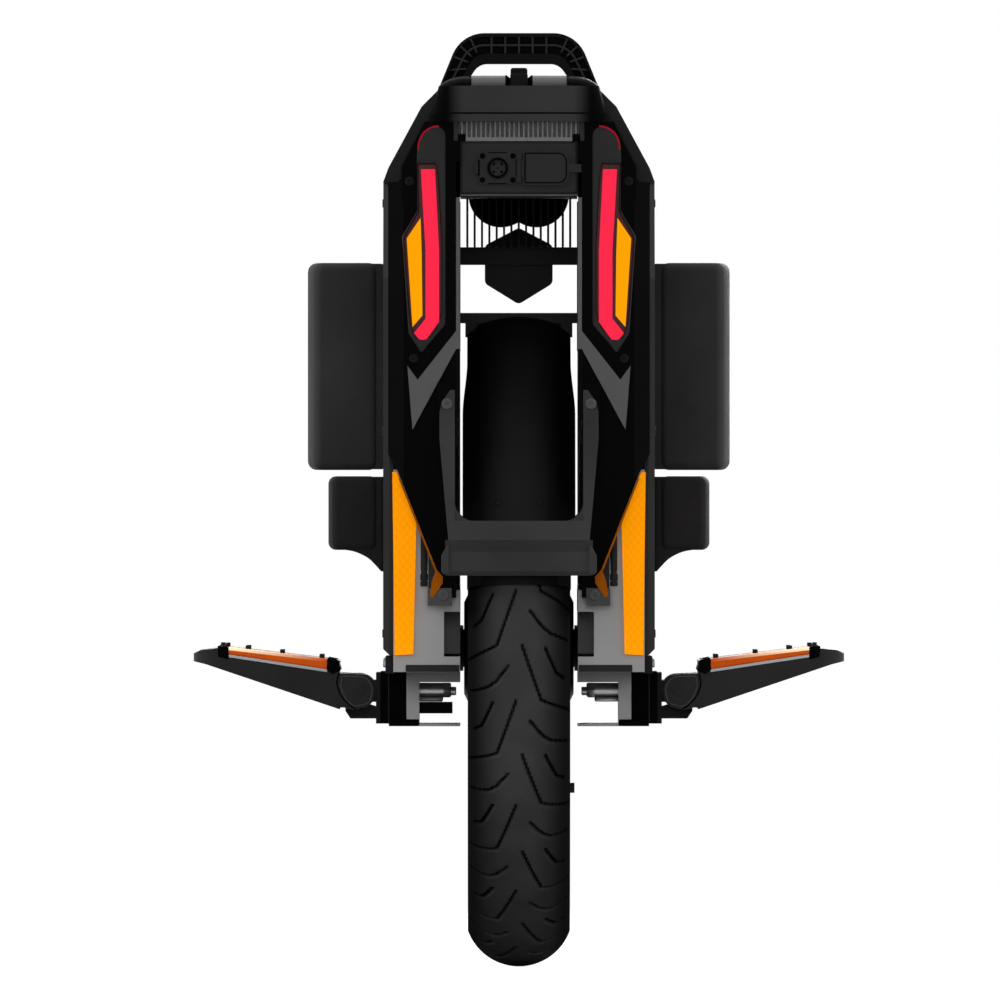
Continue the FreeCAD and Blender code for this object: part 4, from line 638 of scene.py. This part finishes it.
def screws():
    """Socket screws down the fairings, in the side covers, on the hanger brackets and round each motor cover; lugs and
    studs at the fairings' feet and on the yoke; hex bolts with their ends and tabs through the hanger brackets; domed
    screws square to the mudguard, whose slope is the arc tangent of height over depth from the axle; hinge caps."""
    slope = math.atan2(GUARD_SCREW[2] - AXLE[2], -GUARD_SCREW[1])
    square = (0, -math.cos(slope), math.sin(slope))
    domes = [pan_screw(spot, square, 3.2, 1.6) for _, _, spot in mirrored(GUARD_SCREW)]
    bolts = blocks(*BOLT_TAB, SIDES) + heads([BRACKET_SCREW], OUT, 3.6, 2.0, SIDES)
    bolts += [hex_bolt(spot, (-side, 0, 0), 5.5, 18.7, 6.4, 6.1) for side, _, spot in mirrored(HANGER_BOLT, SIDES)]
    bolts += [turned([(0, 3.1), (3.6, 3.1), (4.2, 2.6)], spot, (-side, 0, 0), 24)
              for side, _, spot in mirrored(BOLT_END, SIDES)]
    studs = heads([YOKE_STUD], BACK, 4.4, 2.4) + heads([LUG_STUD], BACK, 4.3, 2.6)
    turns = (np.arange(MOTOR_SCREWS) + 0.5) * (2 * math.pi / MOTOR_SCREWS)
    circle = [AXLE + (MOTOR_FACE, MOTOR_CIRCLE * math.cos(a), MOTOR_CIRCLE * math.sin(a)) for a in turns]
    piece("rear_screws", heads(FAIRING_SCREWS, BACK, 3.6, 2.2), "chassis", SCREW_BLACK, ["body_screws"])
    piece("hanger_bolts", bolts, "chassis", FINISHES["steel"], ["body_screws"])
    piece("foot_lugs", blocks(*FOOT_LUG), "chassis", LUG_AND_HIGHLIGHT_GREY)
    piece("foot_studs", studs, "chassis", STUD_GREY)
    piece("guard_screws", domes, "carriage", SCREW_BLACK)
    piece("side_screws", heads(COVER_SCREWS, OUT, 3.2, 0.7), "chassis", SCREW_BLACK)
    piece("hinge_caps", heads([HINGE_CAP], FORE, 8.0, 2.6, SIDES), "chassis", SCREW_BLACK)
    piece("hub_screws", heads(circle, OUT, 4.2, 2.4), "wheel", SCREW_BLACK)


# Mudguard

WING_RADIUS, WING_TURNS = 247.0, (66.0, 19.0)
WING_ROOT, WING_HALF, WING_FLARE = 38.6, 40.4, 3.6
FLARE_TOP, FLARE_HEIGHT = 476.0, 44.0
WING_SECTION = [(None, 249.0), (0.0, 246.8), (0.0, 231.0), (-2.4, 231.0), (-2.4, 244.4), (None, 246.0)]
GUSSET = [(24.0, 499.5, 1), (39.0, 496.0, 1), (39.0, 507.0, 1), (24.0, 507.0, 1)]


def guard():
    """Wings along the rear half of the mudguard: a thin lip that follows the guard's circle, and whose half width grows
    by flare * s^2 * (3 - 2s) where it comes down past the fork bridge; small gussets under the bridge."""
    count = 48
    turn = np.radians(np.linspace(*WING_TURNS, count))
    share = np.clip((FLARE_TOP - AXLE[2] - WING_RADIUS * np.sin(turn)) / FLARE_HEIGHT, 0, 1)
    wide = WING_HALF + WING_FLARE * share * share * (3 - 2 * share)
    rows = [np.stack([np.full(count, WING_ROOT) if shift is None else wide + shift, -radius * np.cos(turn),
                      AXLE[2] + radius * np.sin(turn)], axis=1) for shift, radius in WING_SECTION]
    wing = skin(np.array(rows).transpose(1, 0, 2), wrap_columns=True, ends=True)
    gusset = slab(round_off(GUSSET), -7.0, 7.0, 0.5)
    piece("guard_wings", both(wing), "carriage", WING_BLACK)
    piece("bridge_gussets", both(gusset), "carriage", FINISHES["carriage_black"])


# Trim: two opposite corners of each block and the radius of its rims

# painted shade: a near-black line under the tail's lip, where its shadow falls
TAIL_SHADOW_LINE = (-54.0, -237.1, 667.0), (54.0, -235.4, 668.3), 0.4
SINK_FOOT = (41.6, -221.6, 645.9), (47.6, -219.6, 651.4), 0.4
WINDOW_EDGE = (45.8, -197.0, 602.4), (48.8, -188.0, 660.0), 0.4
HANGER_FACE = (88.8, 62.0, 191.4), (108.6, 63.4, 231.8), 0.6
# painted highlight: a thin lighter line down each hanger plate's edge
HANGER_EDGE_HIGHLIGHT = (101.6, 62.4, 191.8), (102.5, 63.8, 231.6), 0.3
HANGER_FOOT = (78.2, 75.6, 189.2), (101.8, 77.2, 194.4), 0.5
HANGER_HEAD = (97.6, -74.0, 230.0), (104.6, 74.0, 244.0), 0.8
# painted shade: dark strips where the shadow gap runs along the lower frames' feet
FRAME_FOOT_SHADOW = (46.5, 197.4, 232.2), (88.4, 199.2, 237.6), 0.5
TUBE = [(0, 2.4), (0.5, 3.0), (3.6, 3.0), (3.7, 2.3), (4.6, 2.3), (4.7, 3.1), (9.4, 3.1), (9.5, 2.4), (12.5, 2.4),
        (12.7, 2.7), (50.0, 2.7)]
TUBE_FOOT = (74.0, -199.4, 299.0)
YOKE_END = [(54.5, 333.6, 1), (60.4, 323.0, 2), (60.4, 308.2, 3), (54.5, 308.2, 1)]
LAP = [(62.9, 431.0, 0.5), (63.2, 457.4, 0.5), (49.8, 457.4, 0.5), (54.0, 451.6, 1), (60.2, 442.6, 2)]


def trim():
    """Blocks with rounded rims: a near-black line painted as the shadow under the tail's lip, blocks under the heat
    sink and at the window's edges, plates on the pedal hangers with a lighter line painted as a highlight on each
    plate's edge, and dark strips painted as the shadow gap along the feet of the lower frames; then end caps on the
    yokes, laps over the rear yoke's arms and a capped tube beside each reflector."""
    strips = [box_part(*TAIL_SHADOW_LINE)] + blocks(*SINK_FOOT) + blocks(*WINDOW_EDGE)
    strips += blocks(*HANGER_FACE, SIDES) + blocks(*HANGER_FOOT, SIDES)
    seals = blocks(*FRAME_FOOT_SHADOW, SIDES) + blocks(*HANGER_EDGE_HIGHLIGHT, SIDES) + blocks(*HANGER_HEAD)
    ends = [slab(round_off(YOKE_END), end * 267.0, end * 285.7, 0.6) for end in SIDES]
    lap = slab(round_off(LAP), -235.0, -233.2, 0.3)
    tubes = [turned(TUBE, spot, (0, 0, 1), 24) for _, _, spot in mirrored(TUBE_FOOT)]
    piece("fairing_laps", both(lap), "chassis", FINISHES["cover_black"])
    piece("yoke_ends", both(*ends), "chassis", FINISHES["frame_dark"])
    piece("dark_blocks_and_shadow_line", strips, "chassis", LINE_BLACK)
    piece("bars_and_painted_light_strips", seals, "chassis", TUBE_AND_PAINTED_LIGHT_GREY)
    piece("side_tubes", tubes, "chassis", TUBE_AND_PAINTED_LIGHT_GREY)


# Lamps

LAMP = [(-79.0, 628.0), (-78.3, 591.0), (-90.0, 571.0), (-89.0, 558.5), (-85.6, 511.0), (-85.0, 496.5),
        (-76.0, 483.3), (-60.0, 502.6), (-60.0, 565.0), (-63.5, 628.0)]
BEZEL = [(-79.6, 634.0, 1), (-79.2, 592.0, 3), (-91.2, 571.5, 3), (-90.0, 558.0, 3), (-87.0, 511.0, 3),
         (-86.0, 495.8, 2), (-76.2, 480.8, 1), (-57.2, 503.0, 6), (-57.2, 657.5, 8), (-78.6, 657.5, 17)]
BEZEL_PROFILE = [(0.0, -225.5), (0.0, -226.6), (0.08, -227.6), (0.25, -228.3), (0.55, -228.5), (0.85, -228.1),
                 (0.97, -227.2), (1.0, -225.0), (1.0, -219.0)]
BEZEL_POINTS = 220
LENS_LINE = [(-78.4, 639.0), (-77.6, 646.0), (-74.0, 652.6), (-68.0, 656.6), (-62.5, 657.6)]
HEADLAMP = (0, 244.1, 551.25)
HEADLAMP_BOWL = [(0.0, 3.0), (0.3, 6.5), (1.1, 14.0), (1.8, 19.5), (2.1, 21.4), (2.1, 22.5), (0.0, 22.5)]
HEADLAMP_SOURCE = [(0.2, 3.4), (0.9, 3.3), (1.6, 2.3), (1.9, 0.4)]
HEADLAMP_GLASS = [(2.3, 22.7), (3.3, 22.7), (3.8, 21.6), (4.1, 15.0), (4.3, 6.0), (4.35, 0.5)]


def lamps():
    """Behind each pair of lit lenses lies a smoked cover, and a raised bezel runs round it: the strip between two
    outlines, whose height follows a rounded profile; a thin lit line follows the bezel's upper corner."""
    outer = resample(round_off(BEZEL), BEZEL_POINTS)
    inner = resample(inset(round_off([(*spot, 1.0) for spot in LAMP]), -0.2), BEZEL_POINTS)
    inner = np.roll(inner, -np.argmin(np.linalg.norm(inner - outer[0], axis=1)), axis=0)
    bezel = skin([at_y(outer + (inner - outer) * t, y) for t, y in BEZEL_PROFILE], wrap_columns=True)
    line = swept(bend(at_y(np.array(LENS_LINE), -227.3), 40), 0.7, 8)
    cover = slab(LAMP, -224.6, -218.2, 0.2)
    piece("lamp_covers", both(cover), "chassis", SMOKED_RED)
    piece("lamp_bezels", both(bezel), "chassis", FINISHES["box_dark"], angle=50)
    piece("lamp_lines", both(line), "chassis", GLOW_LINE)


def headlamp():
    """Under a slightly domed glass lie a shallow bright bowl and the light source in its middle, all three turned."""
    for name, profile, material in (("headlamp_bowl", HEADLAMP_BOWL, BOWL_BRIGHT),
                                    ("headlamp_source", HEADLAMP_SOURCE, SOURCE_PALE),
                                    ("headlamp_glass", HEADLAMP_GLASS, FINISHES["lamp_glass"])):
        lens = turned(profile, HEADLAMP, FORE, 48)
        piece(name, [lens], "chassis", material, ["headlamp_lens"], 40)


# Pads

PAD_CROWN, PAD_TAPER, BASE_MARGIN = 1.6, 0.12, 5
CALF_FOOT = [(138.0, 327.6), (127.5, 325.6), (117.5, 320.6), (110.8, 314.0), (107.6, 310.4)]


def pads():
    """A tall knee pad in front and a calf pad behind on each side: a crowned cushion on a thinner base, and under the
    calf pad the base sweeps in to the body. The cushion thins by taper * t^2, where t runs from -1 to 1 along Y."""
    knee = rectangle(111.5, 389.8, 166.2, 552.8, 7, 12)
    knee_base = rectangle(106.2, 390.4, 118.0, 552.2, 2)
    calf = rectangle(111.0, 327.2, 148.9, 384.8, 6, 12)
    calf_base = np.concatenate([[(106.2, 310.4), (106.2, 384.4), (138.0, 384.4)], bend(CALF_FOOT, 14)])
    # painted shade: the calf pads take a darker copy of the pad finish
    for name, soft, base, low, high, edge, finish in (
            ("knee_pad", knee, knee_base, 60.3, 149.7, 6.5, FINISHES["pad_black"]),
            ("calf_pad", calf, calf_base, -174.7, -110.3, 5.6, CALF_SHADED)):
        pad = cushion(resample(soft, 160), low, high, edge, PAD_CROWN)
        along = (pad[0][:, 1] * 2 - low - high) / (high - low)
        pad[0][:, 0] -= (pad[0][:, 0] - soft[:, 0].min()) * PAD_TAPER * along ** 2
        parts = both(pad, slab(base, low + BASE_MARGIN, high - BASE_MARGIN, 0.8))
        pair = piece(name + "s_soft", parts, "chassis", finish, [name + "s"], 60)


# Trolley

BAR_Y, BAR_Z = -190, 692.4
ROD_FOOT = (52, BAR_Y, 436.1)
ROD = [(0, 3.4), (0.6, 4), (250, 4), (252, 3.9)]
CORE = [(0, 3.0), (0.3, 3.2), (76.7, 3.2), (77, 3.0)]
SHOULDER = [(37.6, BAR_Z), (44, 692.2), (51, 690.9), (56, 688.6), (58.4, 686.8)]
COLLARS = [(10.7, -1, [(0, 4.9), (0.3, 5.3), (1.2, 5.3), (1.8, 4.6), (3.6, 3.3)]),
           (37.2, 1, [(0, 4.9), (0.3, 5.6), (1.8, 5.6)])]
CLIP = [(-6.9, 687.2, 0.5), (6.9, 687.2, 0.5), (6.9, 698.8, 1.6), (-6.9, 698.8, 1.6)]
CLIP_BASE = (-6.7, -194.0, 687.4), (6.7, -186.0, 695.7)
CAP = [(-6.6, 698.0, 0.4), (6.6, 698.0, 0.4), (6.6, 703.4, 2.0), (-6.6, 703.4, 2.0)]
CAP_RIDGES = 699.6, 700.9, 702.2


def trolley():
    """Two turned rods, a core and curved shoulders of a flattened section, with collars at both ends of the grips. The
    clip between the grips has two cheeks, and the release cap, with three ridges, slides between them."""
    arm = swept(bend(at_y(np.array(SHOULDER), BAR_Y)), np.linspace(4.6, 4.2, 24), 20, 1.5)
    parts = both(arm) + [turned(ROD, spot, (0, 0, 1), 24) for _, _, spot in mirrored(ROD_FOOT)]
    parts.append(turned(CORE, (-38.5, BAR_Y, BAR_Z), OUT, 24))
    clip = round_off(CLIP)
    parts += [slab(clip, -196.0, -193.2, 0.9), slab(clip, -186.8, -184.0, 0.9), box_part(*CLIP_BASE)]
    collars = [turned(profile, spot, (side * away, 0, 0), 28)
               for first, away, profile in COLLARS for side, _, spot in mirrored((first, BAR_Y, BAR_Z))]
    cap = [slab(round_off(CAP), -192.5, -187.5, 1.0)]
    cap += [box_part((-5.2, -192.9, z - 0.3), (5.2, -192.1, z + 0.3), 0.25) for z in CAP_RIDGES]
    piece("trolley_collars", collars, "trolley", LINE_BLACK)
    piece("trolley_bar_dressed", parts, "trolley", FINISHES["trolley_black"], ["trolley_bar"])
    piece("trolley_button_cap", cap, "trolley_release", FINISHES["trolley_black"], ["trolley_button"])


# Carrying handle

HANDLE_Y, RIB_PITCH = -150, 10.7
RIB_HEIGHTS = 715.2, 721.0, 727.8
FAN_CENTRE, FAN_REACH = np.array([27.7, HANDLE_Y, 704.0]), np.array([13.6, 18.0, 24.6])
FAN_TURNS = 66, 43, 20, -4
BOW = [(54, 690.5, 0), (38.75, 721.5, 19.5), (-38.75, 721.5, 19.5), (-54, 690.5, 0)]


def handle():
    """Lighter beads along the edges of the handle's ribs, painted as their highlights: five upright ones, four that fan
    out in each corner and one that follows the middle of the bow, all of one flattened section."""
    paths = [[(x, HANDLE_Y, z) for z in RIB_HEIGHTS] for x in np.arange(-2, 3) * RIB_PITCH]
    for turn in np.radians(FAN_TURNS):
        spoke = FAN_CENTRE + FAN_REACH[:, None] * np.array([math.cos(turn), 0, math.sin(turn)])
        paths += [spoke, spoke * [-1, 1, 1]]
    paths.append(at_y(round_off(BOW, 12), HANDLE_Y))
    piece("handle_rib_highlights", [swept(path, 0.8, 8, 0.45) for path in paths], "chassis", TUBE_AND_PAINTED_LIGHT_GREY)


# Charging inlet

INLET = np.array([-16.6, -223.0, 625.0])
FLANGE_SCREWS = [(x, 0, z) for x in (-11.8, 11.8) for z in (-9.35, 9.35)]
INLET_CATCH = (-34.6, -223.6, 619.8), (-31.2, -220.0, 630.2), 0.8
INLET_RING = [(3.0, 6.2), (3.2, 6.2), (3.35, 6.5), (3.35, 7.9), (3.2, 8.2), (2.8, 8.2)]
INLET_FACE = [(-3.0, 6.1), (-0.8, 6.1), (-0.7, 6.0)]
CONTACTS = [(-3.0, 3.1, 1.1), (3.0, 3.1, 1.1), (-3.0, -3.1, 1.1), (3.0, -3.1, 1.1), (0.0, 0.0, 0.7)]
LID_RIM = [(4.2, 613.0, 1), (37.4, 613.0, 7), (37.4, 637.0, 7), (4.2, 637.0, 1)]
SEAL_PROFILE = [(0.0, -226.4), (0.15, -226.9), (0.9, -226.9), (1.05, -226.4)]


def inlet():
    """Flange screws, catch and edges, a ring round the bore, a contact face whose five holes are dark discs painted as
    the shade inside them, and the lid's seal, a rounded profile carried round the lid's outline."""
    lines = [turned(INLET_RING, INLET, BACK, 40, ends=False)]
    # painted shade: thin dark discs stand for the shade in the five contact holes
    lines += [turned([(0, r), (0.25, r - 0.1)], INLET + [x, 0.75, z], BACK, 20) for x, z, r in CONTACTS]
    lines += [box_part((x - 0.7, -223.9, 619.2), (x + 0.7, -220.2, 631.2), 0.3) for x in (-31.3, -1.9)]
    lines += [box_part((-24.4, -223.3, z - 0.4), (-9.3, -222.5, z + 0.4), 0.2) for z in (612.9, 636.9)]
    screw_heads = [socket_screw(INLET + shift, BACK, 2.2, 1.2) for shift in FLANGE_SCREWS]
    seal = skin([at_y(inset(round_off(LID_RIM), d), y) for d, y in SEAL_PROFILE], wrap_columns=True)
    black = FINISHES["socket_black"]
    piece("inlet_screws", screw_heads, "chassis", LINE_BLACK)
    piece("inlet_catch", [box_part(*INLET_CATCH)], "chassis", black)
    piece("inlet_lines", lines, "chassis", LINE_BLACK)
    piece("inlet_face", [turned(INLET_FACE, INLET, BACK, 32)], "chassis", black)
    piece("lid_seal", [seal], "charge_cap", LINE_BLACK)


# Pedals

PEDAL_ROOT, PEDAL_PEAK = (140.5, 240.6), (228.0, 251.0)
PEDAL_SLOPE = (PEDAL_PEAK[1] - PEDAL_ROOT[1]) / (PEDAL_PEAK[0] - PEDAL_ROOT[0])
PEDAL_EYE = [(140.6, 230.8, 1.5), (118.2, 229.6, 9), (112.4, 219.0, 8), (114.2, 205.6, 9), (129.5, 202.0, 8),
             (144.0, 205.4, 3)]
PEDAL_RIM = [(138.4, 228.6, 1.5), (118.8, 227.6, 8), (114.6, 218.6, 7), (116.2, 207.4, 7), (129.2, 204.2, 7),
             (135.6, 210.6, 6), (139.6, 220.0, 5)]
PEDAL_SEAM = [(141.0, 230.4), (142.4, 223.0), (139.4, 213.5), (133.5, 206.5), (128.0, 202.4)]
EYE_SCREW = (125.2, 217.4)
STRIP_STOPS = [[(149.8, 243.0, 0.8), (141.8, 241.4, 1.5), (139.2, 232.8, 1.5), (146.0, 230.0, 1), (150.6, 233.4, 0.8)],
               [(236.0, 252.2, 0.8), (227.2, 251.6, 0.6), (227.2, 241.6, 0.6), (235.2, 243.6, 0.8)]]
STRIP_COLUMNS, HIGHLIGHT_ROWS = 24, [0, 0, 0, 0, 1, 1, 1, 1]


def rail(x, rows):
    """A bar along a pedal's end, over the places x: each row gives its heights and its place along Y."""
    return skin([np.stack([x, np.full(len(x), y), z], axis=1) for z, y in rows], wrap_rows=True)


def pedals():
    """At both ends of each pedal: a clear strip whose top follows the tread's slope, with a painted highlight on its
    upper part, a light grey seal beneath it, dark stops at its ends, and a round end plate with a screw, a lighter rim
    line that is a painted highlight, and a seam line."""
    strips, seals, ends, rims, stops = [], [], [], [], []
    rim = round_off(PEDAL_RIM)
    rim = np.concatenate([rim, rim[:1]])
    x = np.linspace(150.2, 227.4, STRIP_COLUMNS)
    rise = PEDAL_ROOT[1] + PEDAL_SLOPE * (x - PEDAL_ROOT[0])
    top, low = rise + 0.4, rise - np.linspace(7.8, 5.3, STRIP_COLUMNS)
    for end in SIDES:
        ends.append(slab(round_off(PEDAL_EYE), end * 93.5, end * 100.3, 0.9))
        ends.append(socket_screw((EYE_SCREW[0], end * 100.2, EYE_SCREW[1]), (0, end, 0), 4.6, 0.9))
        # painted highlight: a thin lighter line round the end plate's rim, where its edge catches light
        rims.append(swept(at_y(rim, end * 100.2), 0.4, 8))
        stops.append(swept(bend(at_y(np.array(PEDAL_SEAM), end * 100.3)), 0.6, 8))
        stops += [slab(round_off(stop), end * 97.0, end * 101.6, 0.5) for stop in STRIP_STOPS]
        outer, inner, lip = end * 101.0, end * 99.0, end * 100.2
        strips.append(rail(x, [(low, inner), (low, lip), (low + 0.8, outer), (top - 2.8, outer), (top - 2.2, outer),
                               (top - 0.8, outer), (top, lip), (top, inner)]))
        seals.append(rail(x, [(low - 2.4, inner), (low - 2.4, lip), (low - 0.2, lip), (low - 0.2, inner)]))
    # painted highlight: the strip's upper rows turn cream towards the outer end
    painted_highlight = np.outer(HIGHLIGHT_ROWS, np.linspace(0.0, 1.0, STRIP_COLUMNS)).reshape(-1)
    painted_highlight = np.tile(painted_highlight, len(strips)).astype(np.float32)
    for side, label in ((1, "right"), (-1, "left")):
        if side < 0:
            strips, seals, ends, rims, stops = ([flipped(part) for part in parts]
                                                for parts in (strips, seals, ends, rims, stops))
        body = f"{label}_pedal"
        piece(f"pedal_strip_{label}", strips, body, FINISHES["inlay_orange"], [f"pedal_inlay_{label}"],
              30, ("painted_highlight", painted_highlight))
        piece(f"pedal_ends_{label}", ends, body, FINISHES["pedal_black"])
        piece(f"pedal_rim_highlights_{label}", rims, body, LUG_AND_HIGHLIGHT_GREY)
        piece(f"strip_stops_{label}", stops, body, LINE_BLACK)
        piece(f"pedal_seal_{label}", seals, body, STRIP_PALE)


# Stage, in metres. A lamp has a name, a place, a width, a power, and whether glossy faces show it

AIM = (0, 0, 0.4)
SOFT_LAMPS = [("key", (-1.6, -3.2, 2.2), 2.4, 26, True),
              ("fill", (2.2, -2.8, 1.2), 2.4, 14, True),
              ("rear", (0, -4.6, 0.7), 1.2, 62, False),
              ("over", (0, 0.4, 3.0), 2.0, 40, True),
              ("far", (0.8, 3.6, 1.6), 2.4, 110, True),
              ("flank", (-3.6, 0.8, 1.5), 2.0, 160, False),
              ("flank", (3.6, 0.8, 1.5), 2.0, 160, False)]
SKY_LIGHT, FLOOR_TONE, FLOOR_GLOW, FLOOR_HALF = 0.3, 0.13, 0.95, 6
CAMERA_AWAY, FRAME_WIDE, FRAME_PLANE = 30.0, 0.78, -0.2
FRAME_CENTRE = (-0.0148, 0.3662)


def soft_lamp(name, place, width, power, mirrored_in_gloss):
    """A round lamp turned towards the object; its own image in glossy faces may be left out."""
    light = bpy.data.lights.new(name, "AREA")
    light.shape = "DISK"
    light.size = width
    light.energy = power
    thing = bpy.data.objects.new(name, light)
    away = np.array(AIM, float) - np.array(place, float)
    thing.location = place
    thing.rotation_euler = (math.atan2(math.hypot(away[0], away[1]), -away[2]), 0,
                            math.atan2(away[0], -away[1]) + math.pi)
    thing.visible_glossy = mirrored_in_gloss
    scene.collection.objects.link(thing)


def pale_rays(tree):
    """1 for the rays that see the background: camera, glossy and transmission."""
    path = tree.nodes.new("ShaderNodeLightPath")
    seen = math_node(tree, "MAXIMUM", path.outputs["Is Camera Ray"], path.outputs["Is Glossy Ray"])
    return math_node(tree, "MAXIMUM", seen, path.outputs["Is Transmission Ray"])


def surround():
    """A dim white sky that lights the object, and a full white one for the rays that see it."""
    world = bpy.data.worlds.new("surround")
    scene.world = world
    world.use_nodes = True
    tree = world.node_tree
    sky = tree.nodes["Background"]
    white = tree.nodes.new("ShaderNodeBackground")
    sky.inputs["Color"].default_value = (1, 1, 1, 1)
    sky.inputs["Strength"].default_value = SKY_LIGHT
    white.inputs["Color"].default_value = (1, 1, 1, 1)
    mix = tree.nodes.new("ShaderNodeMixShader")
    tree.links.new(pale_rays(tree), mix.inputs["Fac"])
    tree.links.new(sky.outputs[0], mix.inputs[1])
    tree.links.new(white.outputs[0], mix.inputs[2])
    tree.links.new(mix.outputs[0], tree.nodes["World Output"].inputs["Surface"])


def pale_floor():
    """A floor that looks nearly white, keeps the object's shadow and throws little light back."""
    material, tree, shader = start("floor")
    shader.inputs["Base Color"].default_value = (FLOOR_TONE, FLOOR_TONE, FLOOR_TONE, 1)
    shader.inputs["Roughness"].default_value = 0.9
    shader.inputs["Specular IOR Level"].default_value = 0.0
    glow = tree.nodes.new("ShaderNodeEmission")
    tree.links.new(math_node(tree, "MULTIPLY", pale_rays(tree), FLOOR_GLOW), glow.inputs["Strength"])
    added = tree.nodes.new("ShaderNodeAddShader")
    tree.links.new(shader.outputs[0], added.inputs[0])
    tree.links.new(glow.outputs[0], added.inputs[1])
    tree.links.new(added.outputs[0], tree.nodes["Material Output"].inputs["Surface"])
    mesh = bpy.data.meshes.new("floor")
    corners = [(-1, -1, 0), (1, -1, 0), (1, 1, 0), (-1, 1, 0)]
    mesh.from_pydata((np.array(corners) * FLOOR_HALF).tolist(), [], [(0, 1, 2, 3)])
    mesh.materials.append(material)
    floor = bpy.data.objects.new("floor", mesh)
    scene.collection.objects.link(floor)


def camera():
    """A long lens square to the rear: the frame's width of the plane just inside the rear fills the picture."""
    lens = bpy.data.cameras.new("photo_camera")
    eye = bpy.data.objects.new("photo_camera", lens)
    lens.sensor_width = 36
    lens.lens = lens.sensor_width * CAMERA_AWAY / FRAME_WIDE
    lens.clip_end = 400
    eye.location = (FRAME_CENTRE[0], FRAME_PLANE - CAMERA_AWAY, FRAME_CENTRE[1])
    eye.rotation_euler = (math.pi / 2, 0, 0)
    scene.collection.objects.link(eye)
    scene.camera = eye


camera()
tyre()
guard()
lamps()
headlamp()
pads()
trolley()
handle()
inlet()
pedals()
screws()
trim()
for row in SOFT_LAMPS:
    soft_lamp(*row)
surround()
pale_floor()
scene.view_settings.view_transform = "Standard"
